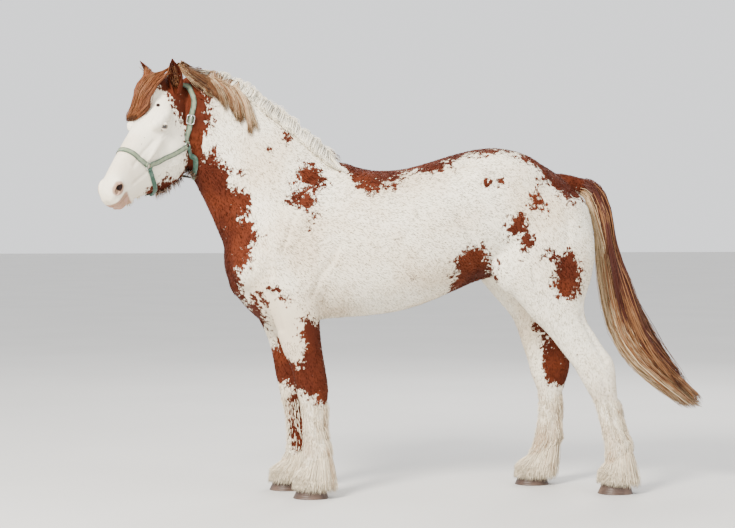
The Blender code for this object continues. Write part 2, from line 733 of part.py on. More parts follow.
def body_pieces(flesh):
    made = {
        "head": [facing_away(THROAT_CUT)],
        "neck": [THROAT_CUT, facing_away(SHOULDER_CUT)],
        "torso": [SHOULDER_CUT, LOIN_CUT, above(FOREARM_TOP)],
        "hindquarters": [facing_away(LOIN_CUT), above(THIGH_BOTTOM)],
    }
    return {name: flesh_piece(name, flesh, BUDGET[name], planes) for name, planes in made.items()}


def leg_pieces(flesh, side):
    """The upper and lower pieces of the foreleg and the hind leg on one side."""
    made = {}
    for pair, top, joint, ground in (
        ("fore", FOREARM_TOP, KNEE_TOP, ahead(0.0)), ("hind", THIGH_BOTTOM, HOCK_TOP, behind(0.3))
    ):
        upper, lower = f"{pair}leg_upper", f"{pair}leg_lower"
        toe = TOES[pair, side][0]
        made[upper] = flesh_piece(
            f"{upper}_{side}", flesh, BUDGET[upper], [ground, on_side(side), below(top), above(joint)])
        made[lower] = flesh_piece(
            f"{lower}_{side}", flesh, BUDGET[lower], [ground, on_side(side), below(joint), coronet(toe)])
    return made


# Hooves and feather

def hoof_outline(half_width, front, back, points):
    """Points (x, y) of a hoof seen from below: round at the toe, flatter across the heels."""
    middle, half = (front + back) / 2, (back - front) / 2
    ring = oval(half, half, half_width, 2.0, 2.8, points)
    return [(middle - up, sideways) for sideways, up in ring]


def hoof(pair, side):
    toe, y = TOES[pair, side]
    point, facing = coronet(toe)
    top = point + facing * GAP / 2
    rings = []
    for share in (0.0, 0.5, 1.0):
        half_width = HOOF_HALF_WIDTH + (CORONET_HALF_WIDTH - HOOF_HALF_WIDTH) * share
        front, back = toe + TOE_SLOPE * share, toe + HOOF_LENGTH - HEEL_SLOPE * share
        ring = []
        for x, sideways in hoof_outline(half_width, front, back, HOOF_POINTS):
            height = top.z - facing.x / facing.z * (x - top.x)
            ring.append(Vector((x, y + sideways, height * share)))
        rings.append(ring)
    return loft_object(f"hoof_{pair}_{side}", rings)


def feather_lock(tree, leg, hoof_middle, degrees, heights, reach, width):
    """A lock from the skin of the leg out and down to beside the hoof."""
    rows, side = leg
    angle = math.radians(degrees)
    outward = Vector((-math.cos(angle), math.sin(angle), 0.0))
    front, back, y, _ = leg_middle(rows, side, heights[0])
    axis = Vector(((front + back) / 2, y, heights[0]))
    skin = tree.ray_cast(axis + outward * 0.3, -outward)[0]
    hoof_reach = HOOF_LENGTH / 2 * abs(outward.x) + HOOF_HALF_WIDTH * abs(outward.y)
    tip = hoof_middle + outward * (hoof_reach + reach)
    tip.z = heights[1]
    shoulder = skin.lerp(tip, 0.45) + outward * (0.012 + 0.35 * reach)
    path = bend([skin - outward * ROOT_DEPTH, shoulder, tip], FEATHER_SPANS + 1)
    return lock(path, outward, width, FEATHER_THICKNESS)


def feather(lower, leg, tips, hoof_middle, draw):
    """Long hair that hangs from the fetlock and pastern, and spreads over the hoof."""
    tree = tree_of(lower)
    made = []
    for i in range(FEATHER_LOCKS):
        degrees = 360 * (i + 0.5) / FEATHER_LOCKS + draw.uniform(-4, 4)
        rear = (1 - math.cos(math.radians(degrees))) / 2
        root, tip, reach = (a + (b - a) * rear for a, b in (FEATHER_ROOTS, tips, FEATHER_REACH))
        outer = i % 2
        heights = (root + outer * TIER, tip + draw.uniform(0.0, 0.008))
        made.append(feather_lock(tree, leg, hoof_middle, degrees, heights, reach + outer * TIER, FEATHER_WIDTH))
    for i in range(CANNON_LOCKS):
        degrees = CANNON_TURN * (-1 if i else 1)
        heights = (CANNON_ROOT - 0.03 * i, CANNON_TIP - 0.03 * i)
        made.append(feather_lock(tree, leg, hoof_middle, degrees, heights, FEATHER_REACH[1], FEATHER_WIDTH * 0.75))
    return made


# Head


def side_point(tree, along, height, side):
    """The skin at a place seen from one side, in the head's axes. The horse's left is its own +Y."""
    far = Vector((along, 0.4 * side, height))
    return tree.ray_cast(far, Vector((0, -side, 0)))[0]


def eye_middle(tree, side):
    skin = side_point(tree, EYE[0], EYE[1], side)
    return skin - Vector((0.0, side * EYE_SUNK, 0.0))


def ball(middle, radius, frame):
    shape = bmesh.new()
    turned = frame @ Matrix.Translation(middle) @ Matrix.Rotation(math.pi / 2, 4, "X")
    bmesh.ops.create_uvsphere(shape, u_segments=10, v_segments=6, radius=radius, matrix=turned)
    bmesh.ops.triangulate(shape, faces=shape.faces)
    return object_from("ball", shape)


def lid(middle, side, upper, frame):
    """A curved rim over the eyeball, from corner to corner."""
    rings = []
    steps = 4
    for i in range(steps + 1):
        t = -1 + 2 * i / steps
        across = math.radians(LID_CORNER) * t
        lift = math.radians(LID_OPEN) * (1 - t * t) * (1 if upper else -1)
        outward = Vector((math.sin(across), side * math.cos(across) * math.cos(lift), math.sin(lift))).normalized()
        ridge = outward.cross(Vector((math.cos(across), -side * math.sin(across), 0))).normalized()
        centre = middle + outward * (EYE_RADIUS + 0.001)
        thick = LID_WIDTH * (1 - 0.45 * t * t)
        ring = oval(thick * 0.62, thick * 1.6, thick, points=5)
        rings.append([frame @ (centre + outward * up + ridge * sideways) for sideways, up in ring])
    return loft_object("lid", rings)


def nostril(tree, side, frame):
    skin = side_point(tree, NOSTRIL[0], NOSTRIL[1], side)
    shape = bmesh.new()
    place = (
        frame @ Matrix.Translation(skin + Vector((0.006, -side * 0.002, 0.0)))
        @ Matrix.Rotation(math.radians(-side * 20), 4, "Z") @ Matrix.Rotation(math.radians(38), 4, "Y")
        @ Matrix.Diagonal((NOSTRIL_SIZE[0], NOSTRIL_SIZE[1], NOSTRIL_SIZE[2], 1.0))
    )
    bmesh.ops.create_uvsphere(shape, u_segments=10, v_segments=6, radius=1.0, matrix=place)
    bmesh.ops.triangulate(shape, faces=shape.faces)
    return object_from("nostril", shape)


def mouth(tree, frame):
    """A thin curved blade that follows the lips from one corner of the mouth to the other."""
    rings = []
    pivot = Vector((MOUTH_CORNER, 0.0, MOUTH_LEVEL))
    steps = 10
    for i in range(steps + 1):
        angle = math.radians(-84 + 168 * i / steps)
        outward = Vector((math.cos(angle), math.sin(angle), 0.0))
        hit = tree.ray_cast(pivot + outward * 0.3, -outward)[0]
        reach = (hit - pivot).length
        half_gap = MOUTH_GAP / 2
        ring = [
            pivot + outward * (reach - MOUTH_DEPTH) + Vector((0, 0, -half_gap * 0.5)),
            pivot + outward * (reach + 0.012) + Vector((0, 0, -half_gap)),
            pivot + outward * (reach + 0.012) + Vector((0, 0, half_gap)),
            pivot + outward * (reach - MOUTH_DEPTH) + Vector((0, 0, half_gap * 0.5)),
        ]
        rings.append([frame @ point for point in ring])
    return loft_object("mouth", rings)


def ear(side, frame):
    """A cupped ear. Its rim wraps all the way round at the root and opens towards the tip."""
    mirrored = Vector((1, side, 1))
    root, tip = Vector(EAR_ROOT) * mirrored, Vector(EAR_TIP) * mirrored
    axis = (tip - root).normalized()
    opening = Vector((0.80, side * 0.42, 0.45))
    opening = (opening - axis * opening.dot(axis)).normalized()
    across = axis.cross(opening)
    rings = []
    points = 8
    for share, half_width, depth, wrap in in_between(EAR, 1):
        middle = root.lerp(tip, share) - opening * 0.012 * math.sin(math.pi * share)
        skin = min(EAR_SKIN, depth * 0.55, half_width * 0.55)
        limit = math.radians(wrap)
        ring = []
        for inner in (False, True):
            inset = skin if inner else 0.0
            for i in range(points):
                angle = limit * (-1 + 2 * i / (points - 1)) * (-1 if inner else 1)
                back = -opening * (depth - inset) * math.cos(angle)
                ring.append(frame @ (middle + back + across * (half_width - inset) * math.sin(angle)))
        rings.append(ring)
    return loft_object("ear", rings)


def forelock(tree, frame, draw):
    """Locks combed from between the ears over the forehead, to the right."""
    made = []
    for i in range(FORELOCK_LOCKS):
        share = i / (FORELOCK_LOCKS - 1)
        row = FORELOCK_SPREAD * (2 * ((i * 0.618) % 1.0) - 1)
        root = Vector(FORELOCK_ROOT) + Vector((draw.uniform(-0.012, 0.012), row, 0))
        tip = Vector(FORELOCK_TIP).lerp(Vector(FORELOCK_INNER_TIP), share) + Vector((draw.uniform(-0.02, 0.01), 0, 0))
        points = []
        for t, lift in ((0.0, -ROOT_DEPTH), (0.25, 0.020), (0.6, 0.024), (1.0, 0.012)):
            guess = root.lerp(tip, t) + Vector((0, 0.022 * math.sin(math.pi * t), 0.08))
            skin, outward, _, _ = tree.find_nearest(guess)
            points.append(skin + outward * (lift + TIER * (i % 2) * (t > 0)))
        path = [frame @ point for point in bend(points, FORELOCK_SPANS + 1)]
        facing = frame.to_3x3() @ Vector((0, -0.25, 1))
        made.append(lock(path, facing, FORELOCK_WIDTH, FORELOCK_THICKNESS))
    return made


def over_neck(tree, share, drop, lift):
    """A point off the skin of the neck, at a share of the way to the poll and a drop down from the crest.

    A positive drop lies on the left side and a negative one on the right.
    """
    rows = in_between(NECK, ROWS_A_SPAN)
    place = min(max(share, 0.0), 1.0) * (len(rows) - 1)
    low = min(int(place), len(rows) - 2)
    row = [a + (b - a) * (place - low) for a, b in zip(rows[low], rows[low + 1])]
    crest, gullet = Vector(row[0:3]), Vector(row[3:6])
    down = (gullet - crest).normalized()
    guess = crest + down * abs(drop) + Vector((0, math.copysign(0.22, -drop), 0.10))
    if abs(drop) < 0.01:
        guess = crest - down * 0.1
    skin, outward, _, _ = tree.find_nearest(guess)
    return skin + outward * lift, outward


def mane_lock(tree, root, back, drop, width, stand):
    """A lock from a share of the crest, that lies back and down over the neck and stands off it."""
    points = []
    for t, lift in ((0.0, -ROOT_DEPTH), (0.3, 0.014 + stand * 0.5), (0.65, 0.014 + stand * 0.8), (1.0, 0.010 + stand)):
        share = root - back * t
        points.append(over_neck(tree, share, drop * t**1.3, lift))
    facing = (points[1][1] + points[2][1]).normalized()
    return lock(bend([point for point, _ in points], 5), facing, width, MANE_THICKNESS)


def mane(tree, draw):
    made = []
    crest_length = sum((Vector(b[0:3]) - Vector(a[0:3])).length for a, b in zip(NECK, NECK[1:]))
    for i in range(LONG_LOCKS):
        root = LONG_MANE[0] + (LONG_MANE[1] - LONG_MANE[0]) * (i + draw.uniform(0.1, 0.9)) / LONG_LOCKS
        length = draw.uniform(*LONG_LENGTH)
        lean = math.radians(draw.uniform(26, 56))
        made.append(mane_lock(tree, root, length * math.cos(lean) / crest_length, length * math.sin(lean),
                              LONG_WIDTH * draw.uniform(0.9, 1.15), TIER * (i % 2)))
    for i in range(SHORT_LOCKS):
        root = SHORT_MANE[0] + (SHORT_MANE[1] - SHORT_MANE[0]) * (i + draw.uniform(0.1, 0.9)) / SHORT_LOCKS
        length = draw.uniform(*SHORT_LENGTH)
        standing = i % 3 == 0
        lean = math.radians(draw.uniform(20, 40) if standing else draw.uniform(48, 80))
        stand = draw.uniform(0.045, 0.070) if standing else TIER * (i % 2)
        made.append(mane_lock(tree, root, length * math.cos(lean) / crest_length, length * math.sin(lean),
                              SHORT_WIDTH * draw.uniform(0.85, 1.15), stand))
    for i in range(RIGHT_LOCKS):
        root = 0.30 + 0.62 * (i + draw.uniform(0.2, 0.8)) / RIGHT_LOCKS
        length = draw.uniform(0.12, 0.18)
        made.append(mane_lock(tree, root, length * 0.4 / crest_length, -length * 0.8, SHORT_WIDTH, 0.006))
    return made


def tail_place(share):
    """The middle, the way across, the way along and the half sizes of the tail at a share of its length."""
    rows = in_between(TAIL, 4)
    place = min(max(share, 0.0), 0.9999) * (len(rows) - 1)
    low = int(place)
    x, z, half_depth, half_width, turn = (
        a + (b - a) * (place - low) for a, b in zip(rows[low], rows[low + 1]))
    angle = math.radians(turn)
    return Vector((x, 0, z)), Vector((math.sin(angle), 0, math.cos(angle))), half_depth, half_width


def tail_lock(start, end, round_at, depth, draw):
    points = []
    drift = draw.uniform(-0.15, 0.15)
    for i in range(5):
        t = i / 4
        middle, across, half_depth, half_width = tail_place(start + (end - start) * t)
        angle = round_at + drift * t
        out = (0.35 if i == 0 else depth) * (1 - 0.25 * t)
        points.append(middle + across * math.cos(angle) * half_depth * out
                      + Vector((0, math.sin(angle) * half_width * out, 0)))
    _, across, _, _ = tail_place((start + end) / 2)
    facing = across * math.cos(round_at) + Vector((0, math.sin(round_at), 0))
    return lock(bend(points, TAIL_SPANS + 1), facing, TAIL_WIDTH * draw.uniform(0.8, 1.1), TAIL_THICKNESS)


def tail(draw):
    """The dock and a core half the length of the tail, in locks that follow its bend to the tip."""
    core = [(x, z, depth * TAIL_CORE_SHARE, width * TAIL_CORE_SHARE, turn)
            for x, z, depth, width, turn in TAIL[:TAIL_CORE_END]]
    core[0], core[1] = TAIL[0], TAIL[1]
    core[-1] = (*core[-1][:2], 0.012, 0.012, core[-1][4])
    made = loft_object("tail", tail_rings(core, 2, 12))
    locks = []
    for count, depth in zip(TAIL_LOCKS, TAIL_DEPTHS):
        for i in range(count):
            share = ((i * 0.382) % 1.0 + draw.uniform(0.0, 0.4)) / 1.4
            start = TAIL_STARTS[0] + (TAIL_STARTS[1] - TAIL_STARTS[0]) * share
            end = TAIL_ENDS[0] + (TAIL_ENDS[1] - TAIL_ENDS[0]) * share
            locks.append(tail_lock(start, end, math.tau * i / count, depth, draw))
    combine(made, "UNION", *locks, solver="MANIFOLD")
    merge_flat(made)


def finished_head(head, frame, draw):
    """Adds lids, nostrils, mouth and forelock to the head, makes its eyes, and makes and returns its ears."""
    ears = []
    tree = tree_of(head, frame)
    middles = {name: eye_middle(tree, -sign) for name, sign in SIDES.items()}
    added = forelock(tree, frame, draw)
    for name, sign in SIDES.items():
        added += [lid(middles[name], -sign, upper, frame) for upper in (True, False)]
    combine(head, "UNION", *added, solver="MANIFOLD")
    combine(head, "DIFFERENCE", mouth(tree, frame), *[nostril(tree, -sign, frame) for sign in SIDES.values()])
    for name in SIDES:
        combine(head, "DIFFERENCE", ball(middles[name], EYE_RADIUS + 2 * GAP, frame))
    merge_flat(head)
    for name, sign in SIDES.items():
        eye = ball(middles[name], EYE_RADIUS, frame)
        eye.name = f"eye_{name}"
        made = combine(ear(-sign, frame), "DIFFERENCE", swollen(head, 2 * GAP), solver="MANIFOLD")
        made.name = f"ear_{name}"
        ears.append(made)
    return ears


# Halter

def laid_strap(tree, places, left_out, hangs=False):
    """Points and outward directions of a strap through places, less its two ends.

    It lies on the head, or hangs free and turns its flat side to the jaw's middle line.
    """
    laid = []
    for row in in_between(places, 5):
        point = Vector(row)
        if hangs:
            outward = (point - Vector((point.x, 0.0, SIDE_RING[2]))).normalized()
            laid.append((point, outward))
            continue
        skin = tree.find_nearest(point)[0]
        outward = (point - skin).normalized()
        laid.append((skin + outward * STRAP_CLEARANCE, outward))
    first, last = laid[0][0], laid[-1][0]
    return [row for row in laid if (row[0] - first).length >= left_out and (row[0] - last).length >= left_out]


def strap(name, laid, frame):
    """A flat strap through points, each with its outward direction."""
    rings = []
    for i, (point, outward) in enumerate(laid):
        along = laid[min(i + 1, len(laid) - 1)][0] - laid[max(i - 1, 0)][0]
        across = along.cross(outward).normalized() * STRAP_WIDTH / 2
        thick = outward * STRAP_THICKNESS
        ring = (point - across, point + across, point + across + thick, point - across + thick)
        rings.append([frame @ corner for corner in ring])
    return loft_object(name, rings)


def loop_of_metal(name, middle, facing, along, half_sizes, frame):
    """A closed loop of round wire that lies flat towards facing, with its first half size along."""
    across = facing.cross(along).normalized()
    along = across.cross(facing).normalized()
    rings = []
    for i in range(RING_SIDES):
        angle = math.tau * i / RING_SIDES
        spoke = along * math.cos(angle) * half_sizes[0] + across * math.sin(angle) * half_sizes[1]
        outward = spoke.normalized()
        wire = oval(RING_WIRE, RING_WIRE, RING_WIRE, points=4)
        rings.append([frame @ (middle + spoke + outward * out + facing * up) for out, up in wire])
    return loft_object(name, rings, ends=False)


def to_side(place, side):
    """A place given for the left, on the left or mirrored to the right."""
    return (place[0], place[1] * side, place[2])


def whole_strap(half):
    """Places from the left half's start over the middle to the right."""
    return [*half, *[to_side(place, -1) for place in reversed(half[:-1])]]


def add_halter(head, neighbours, frame):
    """A webbing halter with a noseband, cheek straps, a crown behind the ears, a throat strap and a chin strap."""
    tree = tree_of(head, frame)
    laid = {
        "halter_noseband": whole_strap([SIDE_RING, *NOSEBAND]),
        "halter_crown": whole_strap([UPPER_RING, *CROWN_STRAP]),
        "halter_throat": whole_strap([UPPER_RING, *THROAT_STRAP]),
    }
    for name, sign in SIDES.items():
        laid[f"halter_cheek_{name}"] = [to_side(place, -sign) for place in (UPPER_RING, *CHEEK_STRAP, SIDE_RING)]
        laid[f"halter_chin_{name}"] = [to_side(place, -sign) for place in (SIDE_RING, *CHIN_STRAP, CHIN_RING)]
    around = RING_RADIUS + RING_WIRE + 0.001
    straps = {}
    for name, places in laid.items():
        straps[name] = strap(name, laid_strap(tree, places, around, "chin" in name), frame)
        cutters = [swollen(neighbour, 2 * GAP) for neighbour in (head, *neighbours)]
        combine(straps[name], "DIFFERENCE", *cutters, solver="MANIFOLD")
    down_the_face = Vector((1.0, 0.0, 0.0))
    round_ring = (RING_RADIUS, RING_RADIUS)
    for name, sign in SIDES.items():
        for ring, place in (("side", SIDE_RING), ("upper", UPPER_RING)):
            point = Vector(to_side(place, -sign))
            skin = tree.find_nearest(point)[0]
            outward = (point - skin).normalized()
            middle = skin + outward * (RING_WIRE + RING_STANDOFF)
            loop_of_metal(f"halter_ring_{ring}_{name}", middle, outward, down_the_face, round_ring, frame)
    loop_of_metal("halter_ring_chin", Vector(CHIN_RING), Vector((0.0, 0.0, -1.0)), down_the_face, round_ring, frame)
    skin = tree.find_nearest(Vector(BUCKLE))[0]
    outward = (Vector(BUCKLE) - skin).normalized()
    middle = skin + outward * (STRAP_CLEARANCE + STRAP_THICKNESS + RING_WIRE + 2 * GAP)
    up_the_strap = Vector(CROWN_STRAP[1]) - Vector(UPPER_RING)
    buckle = loop_of_metal("halter_buckle", middle, outward, up_the_strap, BUCKLE_SIZE, frame)
    combine(buckle, "DIFFERENCE", swollen(straps["halter_crown"], 2 * GAP), solver="MANIFOLD")


# Assembly

def paint(obj, finish):
    """Gives an object its own material and smooth shading."""
    colour, roughness, metallic = FINISHES[finish]
    material = bpy.data.materials.new(obj.name)
    material.use_nodes = True
    shader = material.node_tree.nodes["Principled BSDF"]
    shader.inputs["Base Color"].default_value = (*colour, 1.0)
    shader.inputs["Roughness"].default_value = roughness
    shader.inputs["Metallic"].default_value = metallic
    obj.data.materials.clear()
    obj.data.materials.append(material)
    obj.data.shade_smooth()
    obj.data.set_sharp_from_angle(angle=SHARP_ANGLE)


FINISH_OF = (
    ("hoof", "horn"), ("eye", "eye"), ("ear", "red_coat"), ("tail", "flaxen_hair"),
    ("halter_ring", "hardware"), ("halter_buckle", "hardware"), ("halter", "webbing"), ("", "coat"),
)


def stand_on_origin(objects):
    """Moves the horse so that the middle of its box is over the origin."""
    corners = [obj.matrix_world @ vertex.co for obj in objects for vertex in obj.data.vertices]
    low = Vector(min(corner[i] for corner in corners) for i in range(3))
    high = Vector(max(corner[i] for corner in corners) for i in range(3))
    shift = Vector((-(low.x + high.x) / 2, -(low.y + high.y) / 2, 0.0))
    for obj in objects:
        obj.data.transform(Matrix.Translation(shift))


def main():
    clear_scene()
    flesh = fused_flesh()
    frame = head_frame()
    draw = random.Random(SEED)
    pieces = body_pieces(flesh)
    for side in SIDES:
        legs = leg_pieces(flesh, side)
        for pair, rows in (("fore", FORELEGS), ("hind", HINDLEGS)):
            foot = hoof(pair, side)
            lower = legs[f"{pair}leg_lower"]
            toe, y = TOES[pair, side]
            middle = Vector((toe + HOOF_LENGTH / 2, y, 0))
            hair = feather(lower, (rows, side), FEATHER_TIPS[pair, side], middle, draw)
            combine(lower, "UNION", *hair, solver="MANIFOLD")
            combine(lower, "DIFFERENCE", swollen(foot, HOOF_CLEARANCE), solver="MANIFOLD")
            merge_flat(lower)
    discard(flesh)
    croup_block = bmesh.new()
    bmesh.ops.create_cube(croup_block, size=0.4, matrix=Matrix.Translation((DOCK_CUT + 0.2, 0, 1.405 + 0.2)))
    combine(pieces["hindquarters"], "DIFFERENCE", object_from("block", croup_block))
    tail(draw)
    combine(pieces["neck"], "UNION", *mane(tree_of(pieces["neck"]), draw), solver="MANIFOLD")
    cut_to(pieces["neck"], [THROAT_CUT, facing_away(SHOULDER_CUT)])
    merge_flat(pieces["neck"])
    ears = finished_head(pieces["head"], frame, draw)
    add_halter(pieces["head"], [pieces["neck"], *ears], frame)
    objects = list(collection_of("heavy_horse").objects)
    for obj in objects:
        paint(obj, next(finish for start, finish in FINISH_OF if obj.name.startswith(start)))
    stand_on_origin(objects)


if __name__ == "__main__":
    main()
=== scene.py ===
"""The looks of a life-size heavy horse at rest: skin, coat, mane, tail, feather, eyes, hooves and halter.

Metres, +Z up. The horse faces -X and its left side is -Y, as in the solids that this script loads and
dresses. Sizes are in the horse's own coordinates, and a finished piece is moved on to the solids at the end.
"""

import json
import math
from types import SimpleNamespace

import bmesh
import bpy
import numpy as np
from bpy.props import FloatProperty, FloatVectorProperty, IntProperty, PointerProperty
from mathutils import Matrix, Vector
from mathutils.bvhtree import BVHTree

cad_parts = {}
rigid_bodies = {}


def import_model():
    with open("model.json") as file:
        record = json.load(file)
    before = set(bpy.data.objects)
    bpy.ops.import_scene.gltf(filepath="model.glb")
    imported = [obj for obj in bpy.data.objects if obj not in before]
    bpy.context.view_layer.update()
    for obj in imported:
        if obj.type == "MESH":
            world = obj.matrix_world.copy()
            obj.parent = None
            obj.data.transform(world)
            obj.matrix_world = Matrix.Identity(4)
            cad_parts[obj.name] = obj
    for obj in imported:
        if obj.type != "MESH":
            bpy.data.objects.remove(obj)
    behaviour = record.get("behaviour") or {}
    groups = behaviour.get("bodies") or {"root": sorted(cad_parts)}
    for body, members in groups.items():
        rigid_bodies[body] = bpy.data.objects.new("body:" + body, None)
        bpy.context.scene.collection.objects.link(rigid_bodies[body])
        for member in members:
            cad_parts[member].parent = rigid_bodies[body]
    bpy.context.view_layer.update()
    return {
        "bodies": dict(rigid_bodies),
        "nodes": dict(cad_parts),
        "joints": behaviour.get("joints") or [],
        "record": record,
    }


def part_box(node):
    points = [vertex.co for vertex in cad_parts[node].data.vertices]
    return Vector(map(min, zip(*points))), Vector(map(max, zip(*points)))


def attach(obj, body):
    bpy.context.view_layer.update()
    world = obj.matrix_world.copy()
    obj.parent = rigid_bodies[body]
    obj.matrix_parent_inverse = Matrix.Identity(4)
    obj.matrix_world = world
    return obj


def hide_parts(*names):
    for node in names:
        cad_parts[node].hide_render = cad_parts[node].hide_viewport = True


bl_info = {
    "name": "Heavy horse looks",
    "version": (1, 0, 0),
    "blender": (4, 5, 0),
    "location": "View3D > Sidebar > Horse",
    "description": "Builds the skin, coat, hair, hooves, eyes and halter of a heavy horse",
    "category": "Add Mesh",
}

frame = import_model()
HOOF_LOW, HOOF_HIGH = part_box("hoof_fore_left")
SHIFT = Vector((HOOF_LOW.x + 0.507, (HOOF_LOW.y + HOOF_HIGH.y) / 2 + 0.146, 0.0))
SIDES = {"left": -1, "right": 1}
HEAD_SIDES = {"left": 1, "right": -1}  # in the head's own axes
BEHIND_HEAD = -0.93  # nothing of the head lies further back than this x
SEED = 16
SPAN_ROWS = 4  # rings between two stations of a loft

# Trunk: x, top, bottom, half width, height of the widest point, squareness above, squareness below
TRUNK = (
    (-0.825, 1.205, 1.085, 0.060, 1.150, 2.0, 2.0),
    (-0.790, 1.290, 0.990, 0.135, 1.130, 2.0, 2.0),
    (-0.720, 1.400, 0.895, 0.200, 1.120, 2.0, 2.0),
    (-0.620, 1.490, 0.815, 0.240, 1.130, 1.9, 2.1),
    (-0.500, 1.550, 0.800, 0.255, 1.150, 1.8, 2.2),
    (-0.360, 1.585, 0.835, 0.265, 1.170, 1.7, 2.2),
    (-0.260, 1.597, 0.845, 0.280, 1.180, 1.7, 2.2),
    (-0.180, 1.572, 0.850, 0.292, 1.190, 1.9, 2.2),
    (-0.090, 1.556, 0.858, 0.305, 1.200, 2.0, 2.2),
    (0.030, 1.562, 0.878, 0.318, 1.200, 2.1, 2.2),
    (0.150, 1.592, 0.915, 0.320, 1.220, 2.2, 2.2),
    (0.270, 1.630, 0.965, 0.310, 1.250, 2.2, 2.2),
    (0.380, 1.657, 1.010, 0.298, 1.290, 2.2, 2.1),
    (0.480, 1.667, 1.035, 0.290, 1.310, 2.2, 2.0),
    (0.580, 1.652, 1.020, 0.285, 1.310, 2.2, 2.0),
    (0.680, 1.608, 1.000, 0.270, 1.290, 2.1, 2.0),
    (0.780, 1.550, 1.000, 0.240, 1.270, 2.0, 2.0),
    (0.870, 1.480, 1.020, 0.190, 1.250, 2.0, 2.0),
    (0.930, 1.390, 1.080, 0.120, 1.240, 2.0, 2.0),
    (0.955, 1.300, 1.160, 0.050, 1.230, 2.0, 2.0),
)

# Neck: crest x, y, z, then gullet x, y, z, then half width. The neck bends to the left towards the poll.
NECK = (
    (-0.100, 0.000, 1.500, -0.500, 0.000, 0.980, 0.215),
    (-0.270, 0.000, 1.592, -0.700, 0.000, 0.980, 0.215),
    (-0.420, 0.000, 1.722, -0.800, 0.000, 1.130, 0.185),
    (-0.560, -0.002, 1.830, -0.855, -0.005, 1.260, 0.150),
    (-0.690, -0.012, 1.926, -0.910, -0.015, 1.385, 0.127),
    (-0.810, -0.030, 1.986, -0.962, -0.040, 1.495, 0.113),
    (-0.920, -0.060, 2.008, -1.005, -0.075, 1.590, 0.103),
    (-1.015, -0.095, 1.985, -1.045, -0.110, 1.680, 0.085),
)
NECK_WIDEST = 0.42  # share of the neck's depth, from the gullet up, where it is widest

# Legs: height, left front, left back, right front, right back, distance out from the middle, half width
FORELEGS = (
    (1.200, -0.700, -0.400, -0.720, -0.420, 0.130, 0.110),
    (1.080, -0.705, -0.385, -0.735, -0.405, 0.145, 0.115),
    (0.980, -0.680, -0.375, -0.720, -0.400, 0.152, 0.110),
    (0.900, -0.640, -0.375, -0.685, -0.405, 0.155, 0.100),
    (0.830, -0.602, -0.378, -0.650, -0.412, 0.155, 0.090),
    (0.760, -0.578, -0.374, -0.615, -0.415, 0.154, 0.080),
    (0.690, -0.553, -0.366, -0.592, -0.412, 0.153, 0.070),
    (0.630, -0.522, -0.356, -0.578, -0.408, 0.152, 0.062),
    (0.570, -0.505, -0.346, -0.568, -0.402, 0.151, 0.060),
    (0.520, -0.495, -0.340, -0.556, -0.396, 0.150, 0.064),
    (0.470, -0.482, -0.342, -0.546, -0.400, 0.149, 0.058),
    (0.420, -0.464, -0.350, -0.532, -0.410, 0.148, 0.047),
    (0.350, -0.458, -0.356, -0.518, -0.412, 0.147, 0.040),
    (0.290, -0.457, -0.350, -0.512, -0.405, 0.146, 0.043),
    (0.240, -0.458, -0.338, -0.512, -0.392, 0.146, 0.051),
    (0.200, -0.458, -0.336, -0.514, -0.394, 0.146, 0.050),
    (0.150, -0.464, -0.352, -0.534, -0.422, 0.146, 0.047),
    (0.100, -0.480, -0.342, -0.566, -0.430, 0.146, 0.060),
    (0.050, -0.485, -0.338, -0.575, -0.430, 0.146, 0.064),
)
HINDLEGS = (
    (1.420, 0.500, 0.880, 0.500, 0.880, 0.130, 0.120),
    (1.300, 0.475, 0.925, 0.475, 0.920, 0.150, 0.135),
    (1.180, 0.455, 0.948, 0.455, 0.935, 0.160, 0.140),
    (1.060, 0.455, 0.935, 0.445, 0.905, 0.168, 0.132),
    (0.980, 0.515, 0.912, 0.485, 0.865, 0.172, 0.115),
    (0.910, 0.580, 0.893, 0.545, 0.835, 0.176, 0.098),
    (0.840, 0.640, 0.905, 0.605, 0.835, 0.180, 0.084),
    (0.770, 0.712, 0.945, 0.640, 0.865, 0.182, 0.072),
    (0.700, 0.770, 0.990, 0.663, 0.890, 0.183, 0.062),
    (0.650, 0.810, 1.028, 0.682, 0.905, 0.184, 0.060),
    (0.600, 0.848, 1.043, 0.698, 0.908, 0.184, 0.063),
    (0.545, 0.880, 1.047, 0.712, 0.898, 0.184, 0.062),
    (0.490, 0.912, 1.052, 0.735, 0.880, 0.183, 0.054),
    (0.430, 0.946, 1.062, 0.750, 0.862, 0.182, 0.045),
    (0.350, 0.970, 1.076, 0.750, 0.855, 0.181, 0.042),
    (0.290, 0.984, 1.095, 0.742, 0.855, 0.180, 0.045),
    (0.240, 0.995, 1.118, 0.732, 0.858, 0.180, 0.053),
    (0.200, 1.000, 1.118, 0.722, 0.845, 0.180, 0.051),
    (0.150, 0.998, 1.104, 0.700, 0.812, 0.180, 0.048),
    (0.100, 0.988, 1.122, 0.665, 0.802, 0.180, 0.060),
    (0.050, 0.982, 1.128, 0.650, 0.800, 0.180, 0.064),
)

